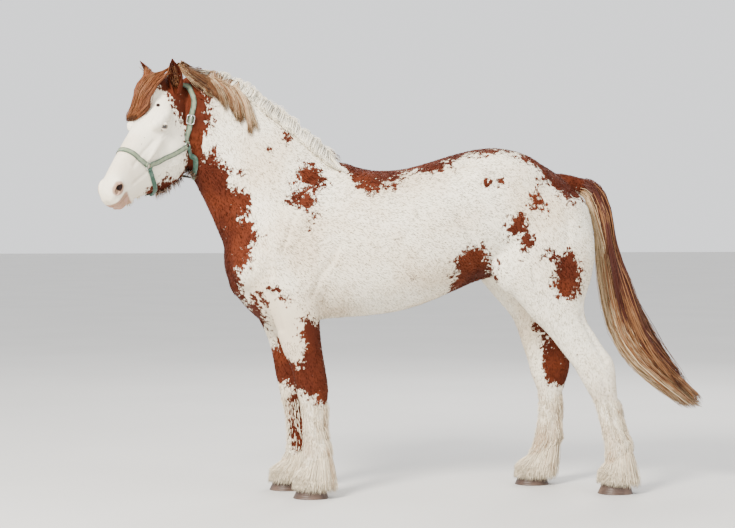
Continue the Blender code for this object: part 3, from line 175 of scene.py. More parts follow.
# Muscles on both sides: x, distance out, z, half lengths along, across and up, pitch forward, lean out
MUSCLES = (
    (-0.500, 0.165, 1.260, 0.115, 0.085, 0.300, 42.0, -10.0),  # shoulder blade
    (-0.455, 0.175, 1.035, 0.130, 0.090, 0.130, 0.0, 0.0),  # triceps
    (-0.715, 0.145, 1.090, 0.085, 0.080, 0.110, 0.0, 0.0),  # point of the shoulder
    (-0.725, 0.070, 1.040, 0.080, 0.085, 0.110, 0.0, 0.0),  # breast
    (0.390, 0.200, 1.500, 0.110, 0.075, 0.080, 0.0, 0.0),  # hip bone
    (0.520, 0.115, 1.500, 0.240, 0.150, 0.155, 12.0, 0.0),  # croup
    (0.690, 0.180, 1.230, 0.220, 0.115, 0.270, 0.0, -8.0),  # thigh
    (0.855, 0.110, 1.220, 0.098, 0.105, 0.240, 0.0, -6.0),  # buttock
    (0.520, 0.190, 1.075, 0.085, 0.080, 0.120, -20.0, 0.0),  # stifle
)

# Head: its own frame starts at the poll, runs forward down the face, and has the forehead on top
POLL = Vector((-1.100, -0.130, 1.932))
HEAD_TURN = math.radians(48.0)
HEAD_PITCH = math.radians(45.0)
# distance from the poll, top, bottom, half width, squareness above, squareness below
HEAD = (
    (-0.075, -0.030, -0.120, 0.040, 2.0, 2.0),
    (-0.045, 0.010, -0.172, 0.066, 2.0, 2.0),
    (0.015, 0.032, -0.222, 0.080, 2.1, 2.1),
    (0.090, 0.036, -0.278, 0.090, 2.3, 2.2),
    (0.170, 0.028, -0.328, 0.092, 2.5, 2.7),
    (0.250, 0.018, -0.342, 0.087, 2.5, 3.0),
    (0.330, 0.014, -0.320, 0.076, 2.5, 3.0),
    (0.410, 0.011, -0.280, 0.064, 2.4, 2.8),
    (0.485, 0.004, -0.232, 0.055, 2.3, 2.5),
    (0.550, -0.006, -0.191, 0.051, 2.2, 2.3),
    (0.605, -0.022, -0.164, 0.052, 2.2, 2.3),
    (0.645, -0.048, -0.148, 0.045, 2.2, 2.2),
    (0.668, -0.080, -0.128, 0.026, 2.0, 2.0),
)
HEAD_MUSCLES = (
    (0.205, 0.058, -0.205, 0.105, 0.046, 0.105, 0.0, 0.0),  # cheek
    (0.190, 0.074, -0.022, 0.082, 0.034, 0.038, -6.0, 0.0),  # brow
    (0.275, 0.074, -0.086, 0.120, 0.017, 0.016, 6.0, 0.0),  # facial crest
    (0.600, 0.037, -0.066, 0.048, 0.027, 0.040, 20.0, 0.0),  # wing of the nostril
    (0.628, 0.016, -0.108, 0.040, 0.033, 0.028, -10.0, 0.0),  # upper lip
    (0.602, 0.012, -0.156, 0.046, 0.028, 0.017, 4.0, 0.0),  # lower lip
    (0.556, 0.008, -0.174, 0.040, 0.030, 0.022, 0.0, 0.0),  # chin
)
EYE_RADIUS = 0.021
LID_CORNER = 54.0  # degrees from the middle of the eye to its corners
LID_ANGLES = (22.0, -24.0)  # degrees up to the upper lid, and down to the lower one
NOSTRIL = (0.612, -0.060)
MOUTH_LEVEL = -0.127
MOUTH_CORNER = 0.566
EAR_ROOT = (0.016, 0.062, -0.022)
EAR_TIP = (-0.040, 0.100, 0.142)
EAR_OPENING = (0.80, 0.42, 0.45)  # which way the left ear opens
EAR_CUP = 0.012  # how far an ear's middle is bowed back
# share of the ear's length, half width, depth, how far the rim wraps round the front in degrees
EAR = (
    (0.00, 0.027, 0.026, 168.0),
    (0.18, 0.033, 0.027, 168.0),
    (0.36, 0.037, 0.024, 138.0),
    (0.56, 0.035, 0.019, 116.0),
    (0.76, 0.024, 0.012, 102.0),
    (0.92, 0.009, 0.006, 93.0),
    (1.00, 0.002, 0.002, 90.0),
)
EAR_SKIN = 0.0035

# Dock and tail: x, z, half depth, half width, turn of the section in degrees
DOCK = (
    (0.800, 1.500, 0.050, 0.048, 0.0),
    (0.860, 1.492, 0.048, 0.046, 4.0),
    (0.930, 1.478, 0.040, 0.040, 12.0),
    (0.975, 1.440, 0.034, 0.034, 45.0),
    (0.998, 1.360, 0.026, 0.028, 70.0),
    (1.010, 1.280, 0.014, 0.016, 78.0),
)
TAIL = (
    (0.9055, 1.486, 0.047, 0.045, 0.0),
    (0.955, 1.470, 0.048, 0.050, 30.0),
    (0.995, 1.400, 0.050, 0.056, 62.0),
    (1.022, 1.300, 0.050, 0.060, 76.0),
    (1.045, 1.180, 0.052, 0.062, 78.0),
    (1.076, 1.050, 0.070, 0.068, 77.0),
    (1.112, 0.920, 0.086, 0.074, 74.0),
    (1.158, 0.790, 0.098, 0.078, 66.0),
    (1.222, 0.675, 0.094, 0.076, 53.0),
    (1.315, 0.570, 0.072, 0.064, 44.0),
    (1.415, 0.475, 0.044, 0.046, 43.0),
    (1.475, 0.415, 0.020, 0.024, 44.0),
    (1.500, 0.390, 0.004, 0.005, 45.0),
)

# Hooves: where each toe is, then sizes that all four share
TOES = {
    ("fore", "left"): (-0.507, -0.146), ("fore", "right"): (-0.598, 0.146),
    ("hind", "left"): (0.962, -0.180), ("hind", "right"): (0.630, 0.180),
}
LEG_ROWS = {"fore": FORELEGS, "hind": HINDLEGS}
HOOF_LENGTH = 0.168
HOOF_HALF_WIDTH = 0.078
CORONET_HALF_WIDTH = 0.064
CORONET_FRONT = 0.088
CORONET_BACK = 0.050
TOE_SLOPE = 0.042
HEEL_SLOPE = 0.016

# Red patches seen from the side, as x and z round each. The first two run past the outline.
CHEST_PATCH = (
    (-1.30, 2.20), (-0.960, 2.20), (-0.905, 1.925), (-0.893, 1.886), (-0.907, 1.848), (-0.886, 1.798),
    (-0.907, 1.731), (-0.962, 1.738), (-0.966, 1.688), (-0.936, 1.614), (-0.878, 1.647), (-0.857, 1.598),
    (-0.828, 1.547), (-0.802, 1.497), (-0.794, 1.463), (-0.728, 1.455), (-0.708, 1.405), (-0.712, 1.354),
    (-0.753, 1.338), (-0.761, 1.313), (-0.720, 1.313), (-0.664, 1.263), (-0.673, 1.213), (-0.730, 1.196),
    (-0.719, 1.138), (-0.749, 1.079), (-0.747, 1.012), (-0.735, 0.950), (-0.677, 0.908), (-0.630, 0.870),
    (-0.605, 0.800), (-0.700, 0.780), (-1.30, 0.780),
)
BACK_PATCH = (
    (-0.330, 1.800), (-0.322, 1.594), (-0.270, 1.546), (-0.227, 1.517), (-0.186, 1.469), (-0.133, 1.436),
    (-0.082, 1.479), (-0.029, 1.465), (0.022, 1.537), (0.085, 1.541), (0.144, 1.526), (0.233, 1.569),
    (0.316, 1.613), (0.387, 1.631), (0.458, 1.635), (0.543, 1.623), (0.618, 1.593), (0.655, 1.555),
    (0.661, 1.508), (0.723, 1.471), (0.767, 1.424), (0.792, 1.386), (0.850, 1.415), (0.950, 1.420),
    (1.100, 1.420), (1.100, 1.800),
)
LEFT_PATCHES = (
    CHEST_PATCH, BACK_PATCH,
    ((-0.482, 1.582), (-0.398, 1.591), (-0.361, 1.550), (-0.348, 1.490), (-0.377, 1.455), (-0.451, 1.464),
     (-0.493, 1.514)),
    ((-0.545, 1.438), (-0.519, 1.472), (-0.460, 1.455), (-0.395, 1.430), (-0.388, 1.396), (-0.423, 1.363),
     (-0.382, 1.346), (-0.399, 1.330), (-0.433, 1.304), (-0.449, 1.337), (-0.489, 1.380), (-0.538, 1.396)),
    ((-0.618, 1.005), (-0.565, 1.005), (-0.535, 0.955), (-0.555, 0.934), (-0.593, 0.943)),
    ((-0.662, 1.960), (-0.580, 1.930), (-0.566, 1.847), (-0.584, 1.807), (-0.631, 1.835)),
    ((-0.570, 1.778), (-0.519, 1.787), (-0.460, 1.756), (-0.470, 1.704), (-0.511, 1.681), (-0.554, 1.714)),
    ((0.258, 1.172), (0.306, 1.181), (0.365, 1.195), (0.407, 1.162), (0.442, 1.114), (0.464, 1.040),
     (0.450, 0.960), (0.330, 0.900), (0.231, 0.950), (0.240, 1.050), (0.258, 1.097)),
    ((0.596, 1.446), (0.658, 1.456), (0.694, 1.404), (0.681, 1.357), (0.632, 1.367), (0.594, 1.395)),
    ((0.516, 1.348), (0.574, 1.348), (0.578, 1.283), (0.611, 1.246), (0.619, 1.190), (0.574, 1.166),
     (0.556, 1.208), (0.546, 1.246), (0.500, 1.218), (0.488, 1.273)),
    ((0.656, 1.162), (0.694, 1.171), (0.732, 1.143), (0.781, 1.171), (0.832, 1.142), (0.849, 1.076),
     (0.853, 0.991), (0.817, 0.945), (0.746, 0.955), (0.706, 1.003), (0.733, 1.059), (0.722, 1.115),
     (0.665, 1.115)),
    ((-0.478, 0.849), (-0.444, 0.858), (-0.394, 0.837), (-0.340, 0.800), (-0.320, 0.606), (-0.310, 0.511),
     (-0.320, 0.455), (-0.363, 0.424), (-0.403, 0.450), (-0.442, 0.489), (-0.478, 0.511), (-0.530, 0.511),
     (-0.560, 0.600), (-0.545, 0.655), (-0.520, 0.648), (-0.480, 0.640), (-0.457, 0.669), (-0.457, 0.707),
     (-0.491, 0.764), (-0.477, 0.792)),
)
RIGHT_PATCHES = (
    CHEST_PATCH, BACK_PATCH,
    ((-0.420, 1.500), (-0.330, 1.520), (-0.270, 1.450), (-0.300, 1.380), (-0.380, 1.350), (-0.450, 1.420)),
    ((-0.200, 1.280), (-0.090, 1.310), (0.020, 1.240), (-0.020, 1.150), (-0.130, 1.130), (-0.220, 1.190)),
    ((-0.660, 1.780), (-0.560, 1.800), (-0.520, 1.700), (-0.580, 1.630), (-0.660, 1.680)),
    ((0.180, 1.120), (0.300, 1.160), (0.400, 1.120), (0.430, 1.020), (0.380, 0.900), (0.200, 0.900)),
    ((0.520, 1.440), (0.640, 1.470), (0.720, 1.380), (0.660, 1.300), (0.560, 1.330)),
    ((0.600, 1.180), (0.720, 1.220), (0.830, 1.120), (0.840, 0.960), (0.740, 0.930), (0.660, 1.040)),
    ((-0.700, 0.655), (-0.590, 0.700), (-0.480, 0.780), (-0.380, 0.760), (-0.380, 0.420), (-0.420, 0.180),
     (-0.483, 0.188), (-0.500, 0.293), (-0.514, 0.380), (-0.501, 0.510), (-0.548, 0.507), (-0.700, 0.507)),
    ((0.691, 0.806), (0.731, 0.827), (0.790, 0.800), (0.860, 0.720), (0.930, 0.608), (0.930, 0.518),
     (0.874, 0.478), (0.826, 0.491), (0.780, 0.507), (0.755, 0.547), (0.749, 0.621), (0.744, 0.661),
     (0.767, 0.711)),
)
# Thinly scattered red hairs: x, z, radius, strength. Each is on the left, and has a partner on the right.
ROAN_SPOTS = (
    (-0.748, 1.540, 0.036, 0.75), (-0.680, 0.960, 0.045, 0.8), (-0.612, 1.650, 0.026, 0.8),
    (-0.606, 1.580, 0.026, 0.7), (0.400, 1.495, 0.034, 0.85), (0.465, 1.497, 0.034, 0.85),
    (-0.450, 1.270, 0.030, 0.5), (0.852, 1.282, 0.014, 0.8), (-0.510, 1.500, 0.030, 0.6),
    (0.655, 1.330, 0.040, 0.5), (0.560, 1.120, 0.030, 0.4), (-0.640, 0.930, 0.030, 0.7),
)
# Red on the head, as distance from the poll and height round the patch. The face is white in front of it.
HEAD_PATCH = (
    (-0.400, 0.300), (0.060, 0.300), (0.074, 0.041), (0.057, 0.019), (0.079, 0.004), (0.101, -0.030),
    (0.104, -0.065), (0.122, -0.105), (0.139, -0.159), (0.165, -0.189), (0.180, -0.240), (0.238, -0.292),
    (0.306, -0.278), (0.337, -0.250), (0.379, -0.237), (0.423, -0.213), (0.470, -0.215), (0.480, -0.450),
    (-0.400, -0.450),
)
# How the crest bends to the left: distance ahead of the horse's middle, and y there
CREST_BEND = ((0.56, 0.69, 0.81, 0.92, 1.03, 1.1), (0, -0.01, -0.03, -0.06, -0.10, -0.13))
# Dark spots on the face: distance from the poll, to the left, height, radius
FACE_SPOTS = ((0.138, 0.047, 0.018, 0.013), (0.220, -0.055, 0.009, 0.006))

# Halter: places on the head as distance from the poll, to the left, height
STRAP_WIDTH = 0.025
STRAP_THICKNESS = 0.0028
RING_RADIUS = 0.0165
RING_WIRE = 0.0028
BUCKLE_SIZE = (0.021, 0.0175)
SIDE_RING = (0.405, 0.075, -0.122)
UPPER_RING = (0.170, 0.105, -0.212)
CHIN_RING = (0.452, 0.000, -0.300)
BUCKLE = (0.080, 0.120, -0.130)
NOSEBAND = ((0.418, 0.085, -0.070), (0.424, 0.070, 0.000), (0.428, 0.000, 0.030))
CHEEK_STRAP = ((0.290, 0.100, -0.170),)
CROWN_STRAP = (
    (0.080, 0.120, -0.130), (-0.005, 0.115, -0.085), (-0.046, 0.085, -0.020), (-0.050, 0.000, 0.030),
)
THROAT_STRAP = ((0.178, 0.110, -0.280), (0.205, 0.075, -0.350), (0.220, 0.000, -0.400))
CHIN_STRAP = ((0.426, 0.100, -0.190), (0.442, 0.085, -0.260))

EYE = (0.212, -0.045)  # distance from the poll, and height
EYE_SUNK = 0.0135  # how far the middle of the eyeball lies under the skin
LID_WIDTH = 0.0072
LID_STEPS = 16
EYE_AHEAD = math.radians(22.0)  # how far each eye looks ahead of straight out to its side
LID_TURN = math.radians(44.0)  # how far the slit between the lids is turned up in front
NOSTRIL_SIZE = (0.027, 0.017, 0.013)
NOSTRIL_TURN = 20  # degrees out of the middle plane
NOSTRIL_TILT = 38  # degrees down in front
MOUTH_DEPTH = 0.009
MOUTH_GAP = 0.0026
MOUTH_SWEEP = 84  # degrees from the middle of the mouth to each corner
MOUTH_STEPS = 20
PUPIL_SIZE = (0.0085, 0.0045)
CORNEA_ANGLES = (42, 20)  # degrees from the middle of the eye: its edge, and full
RIM_ANGLES = (62, 46)  # degrees from the middle of the eye: the pale rim at its full, and its inner edge
FORELOCK_LOCKS = 26
TAIL_LOCKS = 60
FEATHER_LOCKS = 90
FEATHER_LOWEST = 0.004
FINE_HAIR_WIDTH = 0.0022
FORELOCK_CORE = (0.050, -0.016, 0.036, 0.100, 0.052, 0.048, 0.0, 0.0)
FORELOCK_ROOT = (-0.030, 0.000, 0.020)
FORELOCK_SPREAD = 0.052
FORELOCK_TURN = (0.084, -0.104, 0.000)  # where the upper strands bend, and then the lower ones
FORELOCK_INNER_TURN = (0.200, 0.110, 0.000)
FORELOCK_TIP = (0.258, -0.112, 0.000)
FORELOCK_INNER_TIP = (0.246, -0.036, 0.000)
FORELOCK_LIFT = 0.042
LOOSE = np.array((1.0, 1.0, 0.5))  # how far the tail's locks stray along each axis
CORNEA = 0.07  # share of the eyeball's radius
FINE_SMOOTHING = 8  # rounds of smoothing all over
FACE_SMOOTHING = 36
FEATURE_SMOOTHING = 3
EDGE_WIDTH = 0.050  # how far a patch's edge is spread
CHART_GAP = 0.02
HAIR_PATCH = 0.0028  # size of a strand's own patch of the unwrap
STRAND_TAPER = (0.7, 1.0, 0.95, 0.8, 0.5)
TUFTS_A_PIECE = 48000
CREST_LENGTH = sum((Vector(b[0:3]) - Vector(a[0:3])).length for a, b in zip(NECK, NECK[1:]))
# Mane: name, share of the strands, locks, stretch of the crest, lengths and leans in degrees from the rear end
# of the stretch to its front one, side, how far it stands off
MANE_PARTS = (
    ("mane_long", 1.0, 54, (0.610, 0.985), (0.30, 0.37), (50.0, 17.0), 1, 0.036),
    ("mane_under", 0.34, 26, (0.650, 0.960), (0.18, 0.30), (60.0, 24.0), 1, 0.014),
    ("mane_short", 0.60, 80, (0.150, 0.660), (0.050, 0.080), (42.0, 42.0), 1, 0.026),
    ("mane_crest", 0.30, 70, (0.150, 0.930), (0.035, 0.070), (12.0, 12.0), 1, 0.044),
    ("mane_right", 0.45, 44, (0.200, 0.960), (0.08, 0.17), (66.0, 50.0), -1, 0.018),
)
FEATHER_TOP = (0.150, 0.250)  # greatest height of the roots, in front and behind
FEATHER_REACH = (0.008, 0.052)
FEATHER_TIPS = {  # height of the tips above the floor, in front and behind
    ("fore", "left"): (0.026, 0.010), ("fore", "right"): (0.024, 0.010),
    ("hind", "left"): (0.034, 0.014), ("hind", "right"): (0.018, 0.010),
}
HOOF_ROWS = 30
HOOF_RIPPLE = 0.0006
# Folds and grooves: whose axes they are in, width, depth, and the line as x and z or as along and height
CREASES = (
    ("body", 0.022, 0.010, ((-0.800, 1.450), (-0.700, 1.300), (-0.640, 1.180), (-0.620, 1.060))),
    ("body", 0.018, 0.007, ((-0.420, 0.960), (-0.380, 1.060), (-0.330, 1.120), (-0.300, 1.200))),
    ("body", 0.016, 0.009, ((-0.610, 0.960), (-0.590, 0.870), (-0.575, 0.800))),
    ("body", 0.014, 0.006, ((-0.560, 1.180), (-0.520, 1.300), (-0.470, 1.420), (-0.420, 1.500))),
    ("body", 0.024, 0.008, ((-0.950, 1.720), (-0.880, 1.560), (-0.800, 1.380))),
    ("body", 0.026, 0.009, ((0.400, 1.000), (0.380, 1.120), (0.330, 1.230), (0.270, 1.330))),
    ("body", 0.020, 0.006, ((0.800, 1.320), (0.780, 1.180), (0.760, 1.040), (0.770, 0.940))),
    ("body", 0.018, 0.005, ((0.620, 1.080), (0.640, 0.980), (0.700, 0.880), (0.780, 0.800))),
    ("body", 0.030, 0.006, ((0.460, 1.420), (0.560, 1.360), (0.640, 1.260))),
    ("body", 0.010, 0.007, ((-0.395, 0.430), (-0.390, 0.300), (-0.380, 0.240))),
    ("body", 0.010, 0.007, ((1.000, 0.470), (1.030, 0.320), (1.060, 0.240))),
    ("body", 0.016, 0.011, ((0.870, 0.860), (0.930, 0.740), (0.985, 0.640))),
    ("body", 0.012, 0.006, ((0.930, 0.600), (0.970, 0.560), (0.990, 0.500))),
    ("body", 0.010, 0.006, ((-0.460, 0.580), (-0.430, 0.530), (-0.400, 0.470))),
    ("head", 0.008, 0.004, ((0.165, 0.000), (0.195, 0.010), (0.225, 0.004))),
    ("head", 0.006, 0.0028, ((0.170, -0.080), (0.215, -0.092), (0.255, -0.082))),
    ("head", 0.010, 0.004, ((0.300, -0.060), (0.380, -0.055), (0.460, -0.060))),
    ("head", 0.009, 0.003, ((0.330, -0.140), (0.430, -0.135), (0.520, -0.118))),
    ("head", 0.012, 0.004, ((0.060, -0.160), (0.085, -0.235), (0.130, -0.300))),
    ("head", 0.007, 0.0025, ((0.560, -0.105), (0.585, -0.085), (0.640, -0.088))),
)
# Straps under the jaw get a darker webbing, which is painted shade.
SHADED_STRAPS = ("halter_chin_left", "halter_chin_right", "halter_throat")
STRAP_LIFT = 0.0024
STRAP_POINTS = 16
SEWN_LENGTH = 0.036
RING_LIFT = 0.0042
LOOP_STEPS = 6
LOOP_POINTS = 16
SENSOR_WIDTH = 36.0
PICTURE_WIDTH = 735.0
FOCAL_PIXELS = 1863.0
AIM_ACROSS = 27.5  # pixels from the picture's middle to the point that the camera turns to
AIM_DOWN = 47.0
CAMERA_ROUND = -8.0
CAMERA_AWAY = 9.0
CAMERA_HEIGHT = 1.33
FLOOR_SIZE = 60.0
SKY_COLOUR = (0.97, 0.98, 1.0)
SKY_STRENGTH = 1.40
# name, place, target, power, width, colour
LIGHTS = (
    ("key", (-4.5, -5.5, 6.0), (0.0, 0.0, 1.0), 1900.0, 2.5, (1.0, 0.95, 0.86)),
    ("fill", (5.5, -6.0, 3.0), (0.0, 0.0, 1.0), 160.0, 4.0, (0.92, 0.96, 1.0)),
    ("back", (2.5, 5.5, 5.0), (0.0, 0.0, 1.3), 320.0, 3.0, (1.0, 0.98, 0.95)),
)

FLESH_NODES = [
    name for name in frame["nodes"]
    if not name.startswith(("hoof", "eye", "halter", "tail"))
]

# The markings kept in the store include the painted shade inside the nostrils.
store = {}  # what one operator leaves for the next: the skin's surface, markings and unwrap, eyes and nostrils


# Numbers

def on_curve(a, b, c, d, t):
    """The value a share t of the way from b to c, on a smooth curve that comes from a and goes on to d."""
    bend = 2 * a - 5 * b + 4 * c - d
    twist = 3 * b - a - 3 * c + d
    return 0.5 * (2 * b + (c - a) * t + bend * t**2 + twist * t**3)


def in_between(rows, steps):
    """The rows with steps rows a span, on a smooth curve through them."""
    made = []
    for i in range(len(rows) - 1):
        before, start = rows[max(i - 1, 0)], rows[i]
        end, after = rows[i + 1], rows[min(i + 2, len(rows) - 1)]
        for k in range(steps):
            made.append(tuple(on_curve(*four, k / steps) for four in zip(before, start, end, after)))
    made.append(tuple(rows[-1]))
    return made


def ease(value, low, high):
    """From 0 at low to 1 at high, with no corners. Takes numbers and arrays."""
    t = np.clip((value - low) / (high - low), 0.0, 1.0)
    return t * t * (3 - 2 * t)


def unit(vectors):
    return vectors / np.maximum(np.linalg.norm(vectors, axis=-1, keepdims=True), 1e-9)


def row_at(rows, share):
    """Rows read at an array of shares, from 0 at the first row to 1 at the last."""
    table = np.array(rows, float)
    places = np.clip(share, 0.0, 1.0) * (len(table) - 1)
    return np.stack([np.interp(places, np.arange(len(table)), column) for column in table.T], axis=-1)


def inside_distance(points, outline):
    """How far points lie inside a closed outline, less than nothing outside it."""
    corners = np.array(outline, float)
    starts, ends = corners, np.roll(corners, -1, axis=0)
    nearest = np.full(len(points), 1e9)
    inside = np.zeros(len(points), bool)
    for start, end in zip(starts, ends):
        way = end - start
        share = np.clip(((points - start) @ way) / max(way @ way, 1e-12), 0.0, 1.0)
        nearest = np.minimum(nearest, np.linalg.norm(points - start - share[:, None] * way, axis=1))
        crosses = (start[1] > points[:, 1]) != (end[1] > points[:, 1])
        rise = end[1] - start[1] if end[1] != start[1] else 1e-12
        inside ^= crosses & (points[:, 0] < start[0] + (points[:, 1] - start[1]) / rise * way[0])
    return np.where(inside, nearest, -nearest)


def head_frame():
    """The head's own axes: X runs from the poll to the muzzle, Y to the left, Z out of the forehead."""
    turn, pitch = HEAD_TURN, HEAD_PITCH
    forward = Vector((-math.cos(turn) * math.cos(pitch), -math.sin(turn) * math.cos(pitch), -math.sin(pitch)))
    left = Vector((math.sin(turn), -math.cos(turn), 0.0))
    made = Matrix((forward, left, forward.cross(left))).transposed().to_4x4()
    made.translation = POLL
    return made


HEAD_FRAME = head_frame()
HEAD_AXES = np.array(HEAD_FRAME.to_3x3())


def in_head(points):
    """Points in the head's own axes."""
    return (points - np.array(POLL)) @ HEAD_AXES


def out_of_head(points):
    return points @ HEAD_AXES.T + np.array(POLL)


# Objects and meshes

def collection_of(name):
    found = bpy.data.collections.get(name)
    if found is None:
        found = bpy.data.collections.new(name)
        bpy.context.scene.collection.children.link(found)
    return found


def object_of(name, mesh):
    made = bpy.data.objects.new(name, mesh)
    collection_of("horse").objects.link(made)
    return made


def object_from(name, shape):
    """A new object that takes a bmesh's shape, and frees the bmesh."""
    mesh = bpy.data.meshes.new(name)
    bmesh.ops.recalc_face_normals(shape, faces=shape.faces)
    shape.to_mesh(mesh)
    shape.free()
    return object_of(name, mesh)


def object_from_arrays(name, corners, triangles):
    mesh = bpy.data.meshes.new(name)
    mesh.vertices.add(len(corners))
    mesh.vertices.foreach_set("co", np.asarray(corners, np.float32).ravel())
    mesh.loops.add(triangles.size)
    mesh.loops.foreach_set("vertex_index", np.asarray(triangles, np.int32).ravel())
    mesh.polygons.add(len(triangles))
    mesh.polygons.foreach_set("loop_start", np.arange(0, triangles.size, 3, dtype=np.int32))
    mesh.update(calc_edges=True)
    return object_of(name, mesh)


def settle(obj):
    """Applies the object's modifiers."""
    graph = bpy.context.evaluated_depsgraph_get()
    mesh = bpy.data.meshes.new_from_object(obj.evaluated_get(graph))
    obj.modifiers.clear()
    old, obj.data = obj.data, mesh
    bpy.data.meshes.remove(old)
    return obj


def discard(*objects):
    for obj in objects:
        mesh = obj.data
        bpy.data.objects.remove(obj, do_unlink=True)
        bpy.data.meshes.remove(mesh)


def combine(obj, operation, others):
    """Joins others to obj, or cuts it with them, and removes them."""
    for other in others:
        collection_of("cutters").objects.link(other)
    modifier = obj.modifiers.new("combine", "BOOLEAN")
    modifier.operation = operation
    modifier.solver = "MANIFOLD"
    modifier.operand_type = "COLLECTION"
    modifier.collection = collection_of("cutters")
    settle(obj)
    discard(*others)


def places_of(mesh):
    made = np.empty(len(mesh.vertices) * 3, np.float32)
    mesh.vertices.foreach_get("co", made)
    return made.reshape(-1, 3).astype(float)


def move_points(mesh, places):
    mesh.vertices.foreach_set("co", places.astype(np.float32).ravel())
    mesh.update()


def ways_out(mesh):
    made = np.empty(len(mesh.vertices) * 3, np.float32)
    mesh.vertex_normals.foreach_get("vector", made)
    return made.reshape(-1, 3).astype(float)


def give_values(mesh, name, values):
    """A number at each vertex, for the materials."""
    layer = mesh.attributes.new(name, "FLOAT", "POINT")
    layer.data.foreach_set("value", np.asarray(values, np.float32))


def give_uv(mesh, corners):
    layer = mesh.uv_layers.new(name="OFBake")
    layer.data.foreach_set("uv", np.asarray(corners, np.float32).ravel())


def finish_piece(obj, nodes, material):
    """Moves a finished piece on to the solids, gives it its material, and hides the solids that it stands in
    for.
    """
    obj.data.transform(Matrix.Translation(SHIFT))
    obj.data.materials.clear()
    obj.data.materials.append(material)
    obj.data.shade_smooth()
    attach(obj, "root")
    if nodes:
        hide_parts(*nodes)
    return obj


def oval(up, down, half_width, above=2.0, below=2.0, points=40):
    """Points (sideways, upwards) of an egg-shaped ring round its widest line."""
    made = []
    for i in range(points):
        c, s = math.cos(math.tau * i / points), math.sin(math.tau * i / points)
        power = 2.0 / (above if s > 0 else below)
        sideways = half_width * math.copysign(abs(c) ** power, c)
        made.append((sideways, (up if s > 0 else down) * math.copysign(abs(s) ** power, s)))
    return made


def edges_of(items):
    return [item for item in items if isinstance(item, bmesh.types.BMEdge)]


def edges_at(vertices):
    """The edges that meet the vertices, each once and in the same order on each run."""
    return list(dict.fromkeys(edge for vertex in vertices for edge in vertex.link_edges))


def sweep(shape, rings, values=()):
    """A closed skin through rings of points, drawn out ring by ring. Values are numbers for each point."""
    number = shape.verts.layers.int.get("number") or shape.verts.layers.int.new("number")
    layers = shape.verts.layers.float
    own = {name: layers.get(name) or layers.new(name) for name in values}
    segments = len(rings[0])
    first = bmesh.ops.create_circle(shape, cap_ends=True, segments=segments, radius=1.0)["verts"]
    for i, vertex in enumerate(first):
        vertex[number] = i
    edges, vertices = edges_at(first), first
    for row, ring in enumerate(rings):
        if row > 0:
            grown = bmesh.ops.extrude_edge_only(shape, edges=edges)["geom"]
            edges = edges_of(grown)
            vertices = [item for item in grown if isinstance(item, bmesh.types.BMVert)]
        for vertex in vertices:
            vertex.co = ring[vertex[number]]
            for name, layer in own.items():
                vertex[layer] = values[name][row][vertex[number]]
    bmesh.ops.contextual_create(shape, geom=edges)


def swept_object(name, rings, values=()):
    shape = bmesh.new()
    sweep(shape, rings, values)
    bmesh.ops.triangulate(shape, faces=shape.faces)
    return object_from(name, shape)


def add_ball(shape, row, frame, both=True):
    """An ellipsoid on each side of the middle plane of frame."""
    along, out, height, half_long, half_wide, half_high, pitch, lean = row
    for side in (-1, 1) if both else (1,):
        place = (
            frame
            @ Matrix.Translation((along, side * out, height))
            @ Matrix.Rotation(math.radians(-side * lean), 4, "X")
            @ Matrix.Rotation(math.radians(pitch), 4, "Y")
            @ Matrix.Diagonal((half_long, half_wide, half_high, 1.0))
        )
        bmesh.ops.create_uvsphere(shape, u_segments=28, v_segments=18, radius=1.0, matrix=place)


# Flesh

def trunk_rings():
    rings = []
    for x, top, bottom, half_width, widest, above, below in in_between(TRUNK, SPAN_ROWS):
        ring = oval(top - widest, widest - bottom, half_width, above, below)
        rings.append([Vector((x, sideways, widest + up)) for sideways, up in ring])
    return rings


def neck_rings():
    rows = in_between(NECK, SPAN_ROWS)
    rings = []
    for i, row in enumerate(rows):
        crest, gullet = Vector(row[0:3]), Vector(row[3:6])
        near, far = rows[max(i - 1, 0)], rows[min(i + 1, len(rows) - 1)]
        forward = Vector(far[0:3]) + Vector(far[3:6]) - Vector(near[0:3]) - Vector(near[3:6])
        rise = crest - gullet
        side = rise.cross(forward).normalized()
        middle = gullet + rise * NECK_WIDEST
        ring = oval(1 - NECK_WIDEST, NECK_WIDEST, row[6], 1.75, 2.1)
        rings.append([middle + side * sideways + rise * up for sideways, up in ring])
    return rings


def leg_rings(rows, side):
    rings = []
    for row in in_between(rows, SPAN_ROWS):
        height, out, half_width = row[0], row[5], row[6]
        front, back = row[1:3] if side == "left" else row[3:5]
        half = (back - front) / 2
        ring = oval(half, half, half_width, 2.2, 2.0)
        middle = Vector(((front + back) / 2, SIDES[side] * out, height))
        rings.append([middle + Vector((-up, sideways, 0)) for sideways, up in ring])
    return rings


def dock_rings(rows):
    rings = []
    for x, z, half_depth, half_width, turn in in_between(rows, SPAN_ROWS):
        angle = math.radians(turn)
        across = Vector((math.sin(angle), 0.0, math.cos(angle)))
        ring = oval(half_depth, half_depth, half_width)
        rings.append([Vector((x, sideways, z)) + across * up for sideways, up in ring])
    return rings


def head_rings():
    rings = []
    for along, top, bottom, half_width, above, below in in_between(HEAD, SPAN_ROWS):
        middle = (top + bottom) / 2 + 0.02
        ring = oval(top - middle, middle - bottom, half_width, above, below)
        rings.append([HEAD_FRAME @ Vector((along, sideways, middle + up)) for sideways, up in ring])
    return rings


def eye_axes(side):
    """The turn from the head's axes to an eye's own: Y looks out of it to its side, X runs along its slit."""
    return Matrix.Rotation(-side * EYE_AHEAD, 3, "Z") @ Matrix.Rotation(-LID_TURN, 3, "Y")


